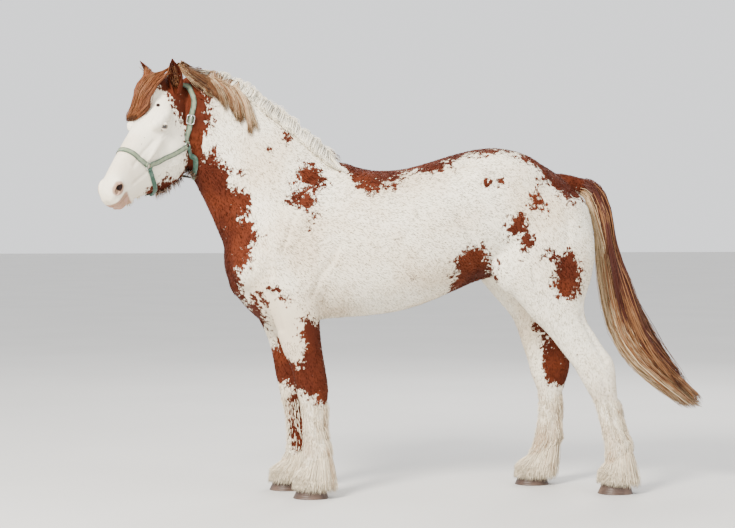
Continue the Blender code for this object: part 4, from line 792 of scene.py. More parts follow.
def lid_rings(middle, side, upper):
    """A curved rim over the eyeball, from corner to corner."""
    rings = []
    for i in range(LID_STEPS + 1):
        t = -1 + 2 * i / LID_STEPS
        across = math.radians(LID_CORNER) * t
        lift = math.radians(LID_ANGLES[0] if upper else LID_ANGLES[1]) * (1 - t * t)
        sideways = side * math.cos(across) * math.cos(lift)
        turned = eye_axes(side)
        outward = turned @ Vector((math.sin(across), sideways, math.sin(lift))).normalized()
        run = turned @ Vector((math.cos(across), -side * math.sin(across), 0))
        ridge = run.cross(outward * side).normalized()
        centre = middle + outward * (EYE_RADIUS + 0.0015)
        thick = LID_WIDTH * (1 - 0.4 * t * t)
        ring = oval(thick * 0.6, thick * 1.5, thick, points=14)
        lids_way = [outward * up + ridge * (wide + (0.8 if upper else -0.8) * thick) for wide, up in ring]
        rings.append([HEAD_FRAME @ (centre + way) for way in lids_way])
    return rings


def ear_rings(side):
    """A cupped ear. Its rim wraps all the way round at the root and opens towards the tip."""
    mirrored = Vector((1, side, 1))
    root, tip = Vector(EAR_ROOT) * mirrored, Vector(EAR_TIP) * mirrored
    axis = (tip - root).normalized()
    opening = Vector(EAR_OPENING) * mirrored
    opening = (opening - axis * opening.dot(axis)).normalized()
    across = axis.cross(opening)
    rings = []
    points = 15
    for share, half_width, depth, wrap in in_between(EAR, 3):
        middle = root.lerp(tip, share) - opening * EAR_CUP * math.sin(math.pi * share)
        skin = min(EAR_SKIN, depth * 0.5, half_width * 0.5)
        limit = math.radians(wrap)
        ring = []
        for inner in (False, True):
            inset = skin if inner else 0.0
            for i in range(points):
                angle = limit * (-1 + 2 * i / (points - 1)) * (-1 if inner else 1)
                back = -opening * (depth - inset) * math.cos(angle)
                ring.append(HEAD_FRAME @ (middle + back + across * (half_width - inset) * math.sin(angle)))
        rings.append(ring)
    return rings


def mouth_rings(tree):
    """A thin curved blade that follows the lips from one corner of the mouth to the other."""
    rings = []
    pivot = Vector((MOUTH_CORNER, 0.0, MOUTH_LEVEL))
    for i in range(MOUTH_STEPS + 1):
        angle = math.radians(-MOUTH_SWEEP + 2 * MOUTH_SWEEP * i / MOUTH_STEPS)
        outward = Vector((math.cos(angle), math.sin(angle), 0.0))
        reach = (tree.ray_cast(pivot + outward * 0.3, -outward)[0] - pivot).length
        bow = Vector((0, 0, 0.004 * math.cos(3 * angle)))
        deep = pivot + outward * (reach - MOUTH_DEPTH) + bow
        out = pivot + outward * (reach + 0.012) + bow
        half_gap = Vector((0, 0, MOUTH_GAP / 2))
        ring = (deep - half_gap * 0.5, out - half_gap, out + half_gap, deep + half_gap * 0.5)
        rings.append([HEAD_FRAME @ point for point in ring])
    return rings


def head_tree(obj):
    """The object's surface in the head's axes."""
    shape = bmesh.new()
    shape.from_mesh(obj.data)
    bmesh.ops.transform(shape, matrix=HEAD_FRAME.inverted(), verts=shape.verts)
    tree = BVHTree.FromBMesh(shape)
    shape.free()
    return tree


def side_point(tree, along, height, side):
    """The skin at a place seen from one side, in the head's axes."""
    return tree.ray_cast(Vector((along, 0.4 * side, height)), Vector((0, -side, 0)))[0]


def fused_flesh(sizes):
    """The whole body as one smooth skin."""
    shape = bmesh.new()
    sweep(shape, trunk_rings())
    sweep(shape, neck_rings())
    for side in SIDES:
        sweep(shape, leg_rings(FORELEGS, side))
        sweep(shape, leg_rings(HINDLEGS, side))
    for row in MUSCLES:
        add_ball(shape, row, Matrix.Identity(4))
    sweep(shape, dock_rings(DOCK))
    sweep(shape, head_rings())
    for row in HEAD_MUSCLES:
        add_ball(shape, row, HEAD_FRAME)
    add_ball(shape, FORELOCK_CORE, HEAD_FRAME, both=False)
    flesh = object_from("skin", shape)
    remesh = flesh.modifiers.new("fuse", "REMESH")
    remesh.mode = "VOXEL"
    remesh.voxel_size = sizes.grain
    settle(flesh)
    soften_flesh(flesh, sizes.smoothing)
    return flesh


def weigh(obj, name, shares):
    """A vertex group that holds each vertex with its own share."""
    group = obj.vertex_groups.new(name=name)
    for index in np.flatnonzero(shares > 0):
        group.add([int(index)], float(shares[index]), "REPLACE")


def soften_flesh(flesh, rounds):
    """Smooths everything a little, the face more, and the trunk and neck a lot, where broad muscles meet."""
    places = places_of(flesh.data)
    weigh(flesh, "body", ease(places[:, 2], 0.70, 0.98) * ease(places[:, 0], -0.98, -0.86))
    along, out, up = in_head(places).T
    face = ease(along, 0.06, 0.12) * (1 - ease(along, 0.48, 0.56)) * ease(up, -0.42, -0.36)
    weigh(flesh, "face", face * (places[:, 0] < BEHIND_HEAD) * (np.abs(out) < 0.2))
    for group, times in (("", FINE_SMOOTHING), ("body", rounds), ("face", FACE_SMOOTHING)):
        smooth = flesh.modifiers.new("soften", "SMOOTH")
        smooth.factor = 0.5
        smooth.iterations = times
        smooth.vertex_group = group
    settle(flesh)


def press_creases(flesh, depth):
    """Presses the folds and grooves into the skin, and sinks all of it under its coat."""
    places, outward = places_of(flesh.data), ways_out(flesh.data)
    local = in_head(places)
    sunk = np.full(len(places), 0.0)
    for own, width, deep, outline in CREASES:
        points = local if own == "head" else places
        side = points[:, 1] if own == "head" else points[:, 1] * -1
        flat = points[:, [0, 2]]
        for start, end in zip(outline, outline[1:]):
            start, end = np.array(start), np.array(end)
            way = end - start
            share = np.clip(((flat - start) @ way) / (way @ way), 0, 1)
            away = np.linalg.norm(flat - start - share[:, None] * way, axis=1)
            sunk = np.maximum(sunk, deep * np.exp(-((away / width) ** 2)) * ease(np.abs(side), 0.02, 0.05))
    thin = ease(places[:, 2], 0.55, 0.85) * ease(places[:, 0], -1.02, -0.90)
    move_points(flesh.data, places - outward * (sunk + depth * (0.35 + 0.65 * thin))[:, None])


def make_coarser(flesh, triangles):
    """Fewer triangles, with the head kept finest."""
    along, out, up = in_head(places_of(flesh.data)).T
    on_head = ease(along, -0.10, 0.02) * (1 - ease(-up, 0.36, 0.42)) * (np.abs(out) < 0.16)
    weigh(flesh, "coarse", 1 - 0.93 * on_head)
    flesh.data.calc_loop_triangles()
    coarser = flesh.modifiers.new("coarser", "DECIMATE")
    coarser.ratio = min(1.0, triangles / len(flesh.data.loop_triangles))
    coarser.vertex_group = "coarse"
    settle(flesh)
    shape = bmesh.new()
    shape.from_mesh(flesh.data)
    bmesh.ops.triangulate(shape, faces=shape.faces)
    shape.to_mesh(flesh.data)
    shape.free()


def model_head(flesh):
    """Joins ears and lids to the skin, and cuts sockets, nostrils and the line of the mouth."""
    tree = head_tree(flesh)
    added, hollows = [], [swept_object("mouth", mouth_rings(tree))]
    for name, side in HEAD_SIDES.items():
        skin = side_point(tree, *EYE, side)
        middle = skin - Vector((0.0, side * EYE_SUNK, 0.0))
        store[f"eye_{name}"] = middle
        added.append(swept_object("ear", ear_rings(side)))
        added += [swept_object("lid", lid_rings(middle, side, upper)) for upper in (True, False)]
        socket = bmesh.new()
        size = EYE_RADIUS + 0.0008
        add_ball(socket, (*middle, size, size, size, 0.0, 0.0), HEAD_FRAME, both=False)
        hollows.append(object_from("socket", socket))
        hollows.append(nostril_of(tree, name, side))
    combine(flesh, "UNION", added)
    combine(flesh, "DIFFERENCE", hollows)


def nostril_of(tree, name, side):
    skin = side_point(tree, *NOSTRIL, side)
    store[f"nostril_{name}"] = skin
    shape = bmesh.new()
    place = (
        HEAD_FRAME @ Matrix.Translation(skin + Vector((0.006, -side * 0.002, 0.0)))
        @ Matrix.Rotation(math.radians(-side * NOSTRIL_TURN), 4, "Z")
        @ Matrix.Rotation(math.radians(NOSTRIL_TILT), 4, "Y")
        @ Matrix.Diagonal((*NOSTRIL_SIZE, 1.0))
    )
    bmesh.ops.create_uvsphere(shape, u_segments=28, v_segments=18, radius=1.0, matrix=place)
    return object_from("nostril", shape)


def soften_features(flesh):
    """Rounds the fresh edges round the eyes, nostrils, mouth and the ears' roots."""
    shape = bmesh.new()
    shape.from_mesh(flesh.data)
    bmesh.ops.triangulate(shape, faces=shape.faces)
    inverse = HEAD_FRAME.inverted()
    near = []
    for vertex in shape.verts:
        if vertex.co.x > -0.95 or vertex.co.z < 1.3:
            continue
        local = inverse @ vertex.co
        muzzle = local.x > MOUTH_CORNER - 0.03
        eye = min((local - store[f"eye_{name}"]).length for name in SIDES) < 0.045
        ear = abs(local.x - 0.01) < 0.06 and local.z > -0.06 and abs(local.y) > 0.04
        if muzzle or eye or ear:
            near.append(vertex)
    for _ in range(FEATURE_SMOOTHING):
        axes = {"use_axis_x": True, "use_axis_y": True, "use_axis_z": True}
        bmesh.ops.smooth_vert(shape, verts=near, factor=0.35, **axes)
    shape.to_mesh(flesh.data)
    shape.free()


# Unwrap, markings, and where hair may grow

def region_of(places, local):
    """The number of the part of the body that each place belongs to, for the unwrap."""
    x, y, z = places.T
    along, out, up = local.T
    ear = (up > 0.045) & (along < 0.06) & (np.abs(out) > 0.045)
    head = (along > -0.06) & (up > -0.36) & (np.abs(out) < 0.17) & (x < BEHIND_HEAD)
    numbers = np.where(x < 0.10, 3, 4)
    numbers = np.where((x < -0.42) & (z > 1.30 - 1.0 * (x + 0.42)), 2, numbers)
    numbers = np.where((x < -0.80) & (z > 1.25), 2, numbers)
    numbers = np.where(z < 0.86, np.where(x < 0.10, 5, 6), numbers)
    numbers = np.where(head, 1, numbers)
    numbers = np.where(ear, 0, numbers)
    side = np.where(numbers < 2, out > 0, y < 0)
    return numbers * 2 + side


def unwrap(places, triangles):
    """Flat corners for each triangle: each part of the body, seen from six sides, has its own area."""
    middles = places[triangles].mean(axis=1)
    edges_a = places[triangles[:, 1]] - places[triangles[:, 0]]
    edges_b = places[triangles[:, 2]] - places[triangles[:, 0]]
    facing = unit(np.cross(edges_a, edges_b))
    local = in_head(middles)
    regions = region_of(middles, local)
    on_head = (regions < 4)[:, None]
    facing = np.where(on_head, facing @ HEAD_AXES, facing)
    corners = places[triangles]
    corners = np.where(on_head[:, None], in_head(corners), corners)
    axis = np.abs(facing).argmax(axis=1)
    positive = np.take_along_axis(facing, axis[:, None], 1)[:, 0] > 0
    chart = regions * 6 + axis * 2 + positive
    flat = np.empty((len(triangles), 3, 2))
    for number, kept in enumerate(((1, 2), (0, 2), (0, 1))):
        chosen = axis == number
        flat[chosen] = corners[chosen][:, :, kept]
    return packed(flat, chart)


def packed(flat, chart):
    """The areas side by side on shelves within one square, without overlap."""
    numbers = np.unique(chart)
    lows = np.array([flat[chart == number].reshape(-1, 2).min(axis=0) for number in numbers])
    highs = np.array([flat[chart == number].reshape(-1, 2).max(axis=0) for number in numbers])
    sizes = highs - lows + CHART_GAP
    order = np.argsort(-sizes[:, 1])
    width = 1.5
    while True:
        spots, x, y, shelf = {}, 0.0, 0.0, 0.0
        for i in order:
            if x + sizes[i, 0] > width:
                x, y, shelf = 0.0, y + shelf, 0.0
            spots[i] = (x, y)
            x, shelf = x + sizes[i, 0], max(shelf, sizes[i, 1])
        if y + shelf <= width:
            break
        width *= 1.03
    made = np.empty_like(flat)
    for i, number in enumerate(numbers):
        chosen = chart == number
        made[chosen] = (flat[chosen] - lows[i] + np.array(spots[i]) + CHART_GAP / 2) / width
    return made


def red_at(places):
    """How deep in a red patch each place lies: 1 well inside, 0 well outside, a half on the edge."""
    flat = places[:, [0, 2]]
    middle = np.interp(-places[:, 0], *CREST_BEND)
    share = ease(places[:, 1] - middle, -0.05, 0.05)
    left = np.max([inside_distance(flat, patch) for patch in LEFT_PATCHES], axis=0)
    right = np.max([inside_distance(flat, patch) for patch in RIGHT_PATCHES], axis=0)
    deep = left * (1 - share) + right * share
    local = in_head(places)
    along, out, up = local.T
    face = inside_distance(local[:, [0, 2]], HEAD_PATCH)
    ears = (up > 0.045) & (along < 0.06) & (np.abs(out) > 0.04)
    face = np.where(ears, 0.08, face)
    on_head = ease(along, -0.04, 0.02) * (1 - ease(-up, 0.36, 0.42))
    on_head = np.where((np.abs(out) < 0.2) & (places[:, 0] < BEHIND_HEAD), on_head, 0.0)
    deep = deep * (1 - on_head) + face * on_head
    value = 0.5 + 0.5 * np.clip(deep / EDGE_WIDTH, -1, 1)
    for x, z, radius, strength in ROAN_SPOTS:
        away = np.hypot(flat[:, 0] - x, flat[:, 1] - z)
        value = np.maximum(value, 0.80 * strength * (1 - ease(away, 0.35 * radius, 1.2 * radius)))
    return value


def bare_at(places):
    """How far the skin shows pink through the hair: muzzle, lids and the insides of the ears."""
    local = in_head(places)
    near = (places[:, 0] < BEHIND_HEAD) & (local[:, 2] > -0.4)
    bare = ease(local[:, 0], 0.550, 0.595) * ease(-local[:, 2], 0.092, 0.122)
    for name in SIDES:
        muzzle = (local - np.array(store[f"nostril_{name}"])) / np.array((0.050, 0.034, 0.040))
        lids = np.linalg.norm(local - np.array(store[f"eye_{name}"]), axis=1)
        bare = np.maximum(bare, 1 - ease(np.linalg.norm(muzzle, axis=1), 0.40, 1.25))
        bare = np.maximum(bare, 0.62 * (1 - ease(lids, EYE_RADIUS + 0.001, EYE_RADIUS + 0.010)))
    return np.where(near, bare, 0.0)


def spots_and_shade_at(places):
    """Where the skin is darkened: the dark spots on the face, painted shade inside the nostrils, and darker
    along the rims of the lids.
    """
    local = in_head(places)
    dark = np.zeros(len(places))
    # Painted shade inside the hollow of each nostril.
    for name in SIDES:
        away = (local - np.array(store[f"nostril_{name}"])) / np.array(NOSTRIL_SIZE)
        dark = np.maximum(dark, 1 - ease(np.linalg.norm(away, axis=1), 0.85, 1.30))
    for along, out, height, radius in FACE_SPOTS:
        away = np.linalg.norm(local - np.array((along, out, height)), axis=1)
        dark = np.maximum(dark, 1 - ease(away, 0.5 * radius, 1.1 * radius))
    # Darker along the rims of the lids.
    for name, side in HEAD_SIDES.items():
        away = local - np.array(store[f"eye_{name}"])
        own = unit(away) @ np.array(eye_axes(side))
        lift, across = np.degrees(np.arcsin(own[:, 2])), np.degrees(np.arcsin(own[:, 0]))
        limit = LID_ANGLES[0] * (1 - np.clip(across / LID_CORNER, -1, 1) ** 2)
        near = (np.linalg.norm(away, axis=1) < EYE_RADIUS + 0.009) & (np.abs(across) < LID_CORNER)
        dark = np.maximum(dark, 0.5 * near * (1 - ease(np.abs(lift) - limit, 1.0, 9.0)))
    return dark


def lies(places):
    """Which way the short hair lies at each place."""
    x, z = places[:, 0], places[:, 2]
    trunk = np.array((0.9, 0.0, -0.35))
    rump = np.array((0.45, 0.0, -0.9))
    neck = np.array((0.55, 0.0, -0.8))
    leg = np.array((0.08, 0.0, -1.0))
    way = trunk + (rump - trunk) * ease(x, 0.35, 0.75)[:, None]
    way = way + (neck - way) * (1 - ease(x, -0.75, -0.35))[:, None]
    way = way + (leg - way) * (1 - ease(z, 0.80, 1.05))[:, None]
    along, out, up = in_head(places).T
    head = (along > -0.03) & (up > -0.37) & (np.abs(out) < 0.18) & (x < BEHIND_HEAD)
    down_the_face = np.array(HEAD_FRAME.to_3x3() @ Vector((1.0, 0.0, -0.25)))
    return unit(np.where(head[:, None], down_the_face, way))


def sizes_of_hair(places):
    """Length and lift of the short hair as shares of the body's, smallest on the face and the legs."""
    along, _, up = in_head(places).T
    x, _, z = places.T
    head = (along > -0.03) & (up > -0.4) & (x < BEHIND_HEAD)
    jaw = (along > 0.02) & (along < 0.45) & (up < -0.19) & (x < BEHIND_HEAD)
    share = np.where(head & ~jaw, 0.42, 1.0)
    share = np.where(along > 0.5, np.minimum(share, 0.25), share)
    share = np.where(z < 0.75, 0.85, share)
    belly = (z < 1.0) & (x > -0.4) & (x < 0.5) & (z > 0.76)
    return np.where(belly, 1.15, share)


# Hair

def strand_mesh(name, paths, widths, facing, thickness, taper):
    """Closed three-sided strands that narrow to a point: paths (strands, points, 3), facing (strands, 3)."""
    count, points = paths.shape[:2]
    along = unit(np.gradient(paths, axis=1))
    across = unit(np.cross(along, facing[:, None, :]))
    upward = np.cross(across, along)
    shares = np.interp(np.linspace(0, 1, points)[:-1], np.linspace(0, 1, len(taper)), taper)
    half = (widths[:, None] * shares[None] / 2)[:, :, None]
    body, across, upward = paths[:, :-1], across[:, :-1], upward[:, :-1]
    corners = np.stack((
        body + across * half - upward * half * thickness * 0.5,
        body + upward * half * thickness,
        body - across * half - upward * half * thickness * 0.5,
    ), axis=2)
    own = 3 * (points - 1) + 1
    made = np.empty((count, own, 3))
    made[:, :-1] = corners.reshape(count, -1, 3)
    made[:, -1] = paths[:, -1]
    pattern = strand_triangles(points)
    triangles = (pattern[None] + (np.arange(count) * own)[:, None, None]).reshape(-1, 3)
    return object_from_arrays(name, made.reshape(-1, 3), triangles), own


def strand_triangles(points):
    """The triangles of one strand with its faces outward."""
    made = [(0, 2, 1)]
    for ring in range(points - 2):
        for i in range(3):
            a, b = ring * 3 + i, ring * 3 + (i + 1) % 3
            made += [(a, b, b + 3), (a, b + 3, a + 3)]
    last = 3 * (points - 2)
    made += [(last + i, last + (i + 1) % 3, last + 3) for i in range(3)]
    return np.array(made, np.int64)


def dress_strands(obj, own, count, points, values, spots):
    """Gives strands their numbers for the materials, and their patch of the unwrap."""
    mesh = obj.data
    for name, numbers in values.items():
        give_values(mesh, name, np.repeat(numbers, own))
    along = np.append(np.repeat(np.linspace(0, 1, points)[:-1], 3), 1.0)
    give_values(mesh, "along", np.tile(along, count))
    sideways = np.append(np.tile((-1.0, 0.0, 1.0), points - 1), 0.0)
    patch = np.stack((sideways, along * 2 - 1), axis=1) * HAIR_PATCH / 2
    at = (spots[:, None, :] + patch[None]).reshape(-1, 2)
    corner_of = np.empty(len(mesh.loops), np.int32)
    mesh.loops.foreach_get("vertex_index", corner_of)
    give_uv(mesh, np.clip(at[corner_of], 0.0, 1.0))


def nearest_skin(points):
    """The nearest places on the skin to points, the ways out there and those places on the unwrap."""
    found = [store["tree"].find_nearest(Vector(point))[:3] for point in points]
    at, outward, index = (np.array(column) for column in zip(*found))
    shares = corner_shares(at, store["corners"][index])
    return at, outward, (store["flat"][index] * shares[:, :, None]).sum(axis=1)


def corner_shares(at, triangle):
    """How much each corner of a triangle counts at a place in it."""
    a, b, c = triangle[:, 0], triangle[:, 1], triangle[:, 2]
    u, v, w = b - a, c - a, at - a
    uu, uv, vv = (u * u).sum(1), (u * v).sum(1), (v * v).sum(1)
    wu, wv = (w * u).sum(1), (w * v).sum(1)
    below = np.maximum(uu * vv - uv * uv, 1e-18)
    second, third = (vv * wu - uv * wv) / below, (uu * wv - uv * wu) / below
    return np.clip(np.stack((1 - second - third, second, third), axis=1), 0.0, 1.0)


def keep_off_skin(paths, least):
    """Moves the points of strands out to at least a height above the skin. least is (strands, points)."""
    flat = paths.reshape(-1, 3)
    at, outward, _ = nearest_skin(flat)
    height = ((flat - at) * outward).sum(axis=1)
    lift = np.maximum(least.ravel() - height, 0.0)
    return (flat + outward * lift[:, None]).reshape(paths.shape)


def along_mane(shares, drops, lifts):
    """Places over the neck, at shares of the way to the poll and drops down from the crest, lifted off it."""
    rows = row_at(in_between(NECK, SPAN_ROWS), shares)
    crest, gullet = rows[..., 0:3], rows[..., 3:6]
    down = unit(gullet - crest)
    guess = crest + down * np.abs(drops)[..., None]
    guess[..., 1] -= np.where(np.abs(drops) < 0.012, 0.0, np.sign(drops) * 0.20)
    guess[..., 2] += 0.10
    flat = guess.reshape(-1, 3)
    at, outward, _ = nearest_skin(flat)
    outward = outward.reshape(guess.shape)
    return at.reshape(guess.shape) + outward * lifts[..., None], outward


def draw_in(paths, groups, amount):
    """Pulls the strands of each lock together towards its tip."""
    count = groups.max() + 1
    sums = np.zeros((count,) + paths.shape[1:])
    np.add.at(sums, groups, paths)
    middles = sums / np.maximum(np.bincount(groups, minlength=count), 1)[:, None, None]
    share = amount * np.linspace(0, 1, paths.shape[1]) ** 1.3
    return paths + (middles[groups] - paths) * share[None, :, None]


def wave(paths, draw, size):
    """A slow bend of its own for each strand, nothing at the root."""
    count, points = paths.shape[:2]
    t = np.linspace(0, 1, points)
    starts = draw.uniform(0, math.tau, (count, 1, 3))
    angles = starts + t[None, :, None] * draw.uniform(1.5, 5.0, (count, 1, 1))
    return paths + np.sin(angles) * size * (t**1.2)[None, :, None]


def bent(start, turn, end, points):
    """A path of some points for each strand, from its start to its end and drawn towards its turn."""
    t = np.linspace(0, 1, points)[None, :, None]
    return (1 - t) ** 2 * start[:, None] + 2 * t * (1 - t) * turn[:, None] + t**2 * end[:, None]


def mane_part(draw, count, locks, roots, lengths, leans, side, stand, sizes):
    """Strands from a stretch of the crest, in locks. Side is 1 for the left and -1 for the right."""
    groups = draw.integers(0, locks, count)
    lock_root = np.sort(draw.uniform(*roots, locks))
    lock_length = np.interp(lock_root, roots, lengths) * draw.uniform(0.86, 1.14, locks)
    lock_lean = np.radians(np.interp(lock_root, roots, leans) + draw.normal(0, 6.0, locks))
    lock_lift = draw.uniform(0.25, 1.0, locks)
    width = (roots[1] - roots[0]) / locks
    root = lock_root[groups] + draw.normal(0, 0.9 * width, count)
    length = lock_length[groups] * draw.uniform(0.72, 1.06, count)
    lean = lock_lean[groups] + draw.normal(0, 0.05, count)
    t = np.linspace(0, 1, sizes.mane_points)
    back = (length * np.cos(lean) / CREST_LENGTH)[:, None] * t[None]
    drop = side * ((length * np.sin(lean))[:, None] * t[None] ** 1.5 + 0.0001)
    arch = np.sin(np.pi * np.clip(t * 0.86 + 0.06, 0, 1)) ** 0.8
    layer = lock_lift[groups] * draw.uniform(0.25, 1.1, count)
    lifts = stand * layer[:, None] * arch[None] - 0.004 * (t == 0)[None]
    paths, outward = along_mane(root[:, None] - back, drop, lifts)
    paths = wave(draw_in(paths, groups, 0.62), draw, 0.006)
    tone = np.clip(draw.uniform(0, 1, locks)[groups] * 0.6 + draw.uniform(0, 0.4, count), 0, 1)
    return paths, unit(outward[:, 1]), root, tone


def hair_object(name, paths, widths, facing, values, material, nodes=(), thickness=0.5):
    _, _, spots = nearest_skin(paths[:, 0])
    obj, own = strand_mesh(name, paths, widths, facing, thickness, STRAND_TAPER)
    dress_strands(obj, own, len(paths), paths.shape[1], values, spots)
    return finish_piece(obj, nodes, material)


def place_on_tail(shares, rounds, depths):
    """Places in the tail at shares of its length, angles round it and shares of its half width."""
    x, z, half_depth, half_width, turn = np.moveaxis(row_at(in_between(TAIL, SPAN_ROWS), shares), -1, 0)
    angle = np.radians(turn)
    up = np.cos(rounds) * half_depth * depths
    sideways = np.sin(rounds) * half_width * depths
    return np.stack((x + np.sin(angle) * up, sideways, z + np.cos(angle) * up), axis=-1)


def place_on_leg(rows, side, heights, rounds, standoff):
    """Places on a leg at heights and angles from its front, at a distance off its outline."""
    table = np.array(in_between(rows, SPAN_ROWS))[::-1]
    front, back = (1, 2) if side == "left" else (3, 4)
    columns = [np.interp(heights, table[:, 0], table[:, i]) for i in (front, back, 5, 6)]
    middle, half = (columns[0] + columns[1]) / 2, (columns[1] - columns[0]) / 2
    x = middle - (half + standoff) * np.cos(rounds)
    y = SIDES[side] * columns[2] + (columns[3] + standoff) * np.sin(rounds)
    return np.stack((x, y, heights), axis=-1)


def feather_paths(draw, pair, side, count, sizes):
    """Strands from the fetlock that hang over the hoof, longest behind."""
    rows, (toe, y) = LEG_ROWS[pair], TOES[pair, side]
    groups = draw.integers(0, FEATHER_LOCKS, count)
    rounds = (draw.permutation(FEATHER_LOCKS)[groups] + draw.normal(0, 0.6, count)) / FEATHER_LOCKS * math.tau
    behind = 0.5 - 0.5 * np.cos(rounds)
    top = FEATHER_TOP[0] + (FEATHER_TOP[1] - FEATHER_TOP[0]) * behind**1.5
    start = 0.085 + (top - 0.085) * draw.uniform(0, 1, count) ** 0.8
    low, high = FEATHER_TIPS[pair, side]
    end = low + (high - low) * behind + draw.uniform(0, 1, count) ** 1.5 * 0.09
    reach = FEATHER_REACH[0] + (FEATHER_REACH[1] - FEATHER_REACH[0]) * behind**1.5
    reach = reach * draw.uniform(0.1, 1.0, count) * (1 - 0.6 * ease(end, 0.02, 0.12))
    roots = place_on_leg(rows, side, start, rounds, -0.003)
    middle = toe + HOOF_LENGTH / 2
    tip_x = middle - (HOOF_LENGTH / 2 + reach) * np.cos(rounds)
    tips = np.stack((tip_x, y + (HOOF_HALF_WIDTH + reach) * np.sin(rounds), end), axis=-1)
    bulge = place_on_leg(rows, side, start * 0.62 + end * 0.38, rounds, 0.012 + 0.9 * reach)
    paths = bent(roots, bulge, tips, sizes.feather_points)
    paths = wave(draw_in(paths, groups, 0.30), draw, 0.006)
    facing = np.stack((-np.cos(rounds), np.sin(rounds), np.full(count, 0.15)), axis=-1)
    return paths, facing


def cannon_paths(draw, pair, side, count, sizes):
    """The thin fringe of longer hair down the back of the cannon."""
    rows = LEG_ROWS[pair]
    rounds = np.where(draw.uniform(0, 1, count) < 0.35, math.pi + draw.normal(0, 0.35, count),
                      draw.uniform(0, math.tau, count))
    behind = 0.5 - 0.5 * np.cos(rounds)
    start = draw.uniform(0.14, 0.46, count)
    length = draw.uniform(0.02, 0.035, count) + behind**3 * draw.uniform(0.02, 0.06, count)
    t = np.linspace(0, 1, sizes.feather_points)
    heights = start[:, None] - length[:, None] * t[None]
    stand = draw.uniform(0.002, 0.006, count) + behind**3 * draw.uniform(0.003, 0.016, count)
    off = np.sin(t * 2.2)[None] * stand[:, None] - 0.003 * (t == 0)[None]
    paths = place_on_leg(rows, side, heights, np.repeat(rounds[:, None], len(t), 1), off)
    facing = np.stack((-np.cos(rounds), np.sin(rounds), np.zeros(count)), axis=-1)
    return wave(paths, draw, 0.003), facing


# Shader sums

class Wire:
    """One output of a shader node. Sums on it make further nodes."""

    def __init__(self, tree, socket):
        self.tree = tree
        self.socket = socket

    def sum_of(self, operation, first, second):
        colour = any(isinstance(item, Wire) and item.socket.type != "VALUE" for item in (first, second))
        kind = "ShaderNodeVectorMath" if colour else "ShaderNodeMath"
        return make(self.tree, kind, {"operation": operation}, {0: first, 1: second})

    def __add__(self, other):
        return self.sum_of("ADD", self, other)

    def __radd__(self, other):
        return self.sum_of("ADD", other, self)

    def __sub__(self, other):
        return self.sum_of("SUBTRACT", self, other)

    def __rsub__(self, other):
        return self.sum_of("SUBTRACT", other, self)

    def __mul__(self, other):
        return self.sum_of("MULTIPLY", self, other)

    def between(self, low, high):
        """0 below low, 1 above high, and smooth between them."""
        values = {"Value": self, "From Min": low, "From Max": high}
        return make(self.tree, "ShaderNodeMapRange", {"interpolation_type": "SMOOTHSTEP"}, values)

    def mix(self, low, high):
        """A colour from low to high as this goes from 0 to 1."""
        return make(self.tree, "ShaderNodeMix", {"data_type": "RGBA"}, {0: self, 6: low, 7: high}, output=2)


def make(tree, kind, settings, values, output=0):
    """A node of any kind with its settings, and its inputs set or linked."""
    node = tree.nodes.new(kind)
    for name, value in settings.items():
        setattr(node, name, value)
    for name, value in values.items():
        if isinstance(value, Wire):
            tree.links.new(value.socket, node.inputs[name])
        elif isinstance(value, tuple) and node.inputs[name].type == "RGBA":
            node.inputs[name].default_value = (*value[:3], 1.0)
        else:
            node.inputs[name].default_value = value
    return Wire(tree, node.outputs[output])


def new_material(name):
    material = bpy.data.materials.new(name)
    material.use_nodes = True
    return material, material.node_tree


def own_place(tree):
    """The place in the horse's own coordinates."""
    place = make(tree, "ShaderNodeTexCoord", {}, {}, output=3)
    moved = {"Vector": place, "Location": tuple(-SHIFT)}
    return make(tree, "ShaderNodeMapping", {"vector_type": "POINT"}, moved)


def noise(tree, place, scale, detail=2.0, rough=0.5):
    values = {"Vector": place, "Scale": scale, "Detail": detail, "Roughness": rough}
    return make(tree, "ShaderNodeTexNoise", {}, values)


def value_of(tree, name):
    return make(tree, "ShaderNodeAttribute", {"attribute_name": name}, {}, output=2)


def stretched(tree, place, scales):
    return make(tree, "ShaderNodeMapping", {"vector_type": "POINT"}, {"Vector": place, "Scale": scales})


def finish_material(tree, **inputs):
    shader = tree.nodes["Principled BSDF"]
    for name, value in inputs.items():
        socket = shader.inputs[name.replace("_", " ")]
        if isinstance(value, Wire):
            tree.links.new(value.socket, socket)
        elif isinstance(value, tuple):
            socket.default_value = (*value[:3], 1.0)
        else:
            socket.default_value = value


def bumped(tree, height, strength, distance):
    return make(tree, "ShaderNodeBump", {}, {"Height": height, "Strength": strength, "Distance": distance})


def coat_colour(tree, place, colours):
    """White hair and red patches with ragged, roan edges, and how red each place is."""
    ragged = noise(tree, place, 13.0, 4.0, 0.62)
    hairs = noise(tree, stretched(tree, place, (150.0, 150.0, 60.0)), 1.0, 3.0, 0.6)
    blotch = noise(tree, place, 3.2, 3.0)
    islands = noise(tree, place, 48.0, 3.0, 0.6)
    deep = value_of(tree, "red") + (ragged - 0.5) * 1.4 + (islands - 0.5) * 1.5 + (hairs - 0.5) * 0.8
    red = deep.between(0.42, 0.60)
    white = blotch.between(0.35, 0.7).mix(colours.white, colours.cream)
    white = (hairs.between(0.62, 0.85) * 0.22).mix(white, colours.cream)
    height = make(tree, "ShaderNodeSeparateXYZ", {}, {"Vector": place}, output=2)
    low = 1.0 - height.between(0.30, 0.70)
    stained = low * noise(tree, place, 7.0, 4.0).between(0.34, 0.62) * 0.75
    white = stained.mix(white, colours.feather_tan)
    sorrel = noise(tree, place, 5.5, 4.0).between(0.36, 0.66).mix(colours.sorrel, colours.bright_sorrel)
    sorrel = (hairs.between(0.55, 0.8) * 0.55).mix(sorrel, colours.dark_sorrel)
    return red.mix(white, sorrel), red, hairs


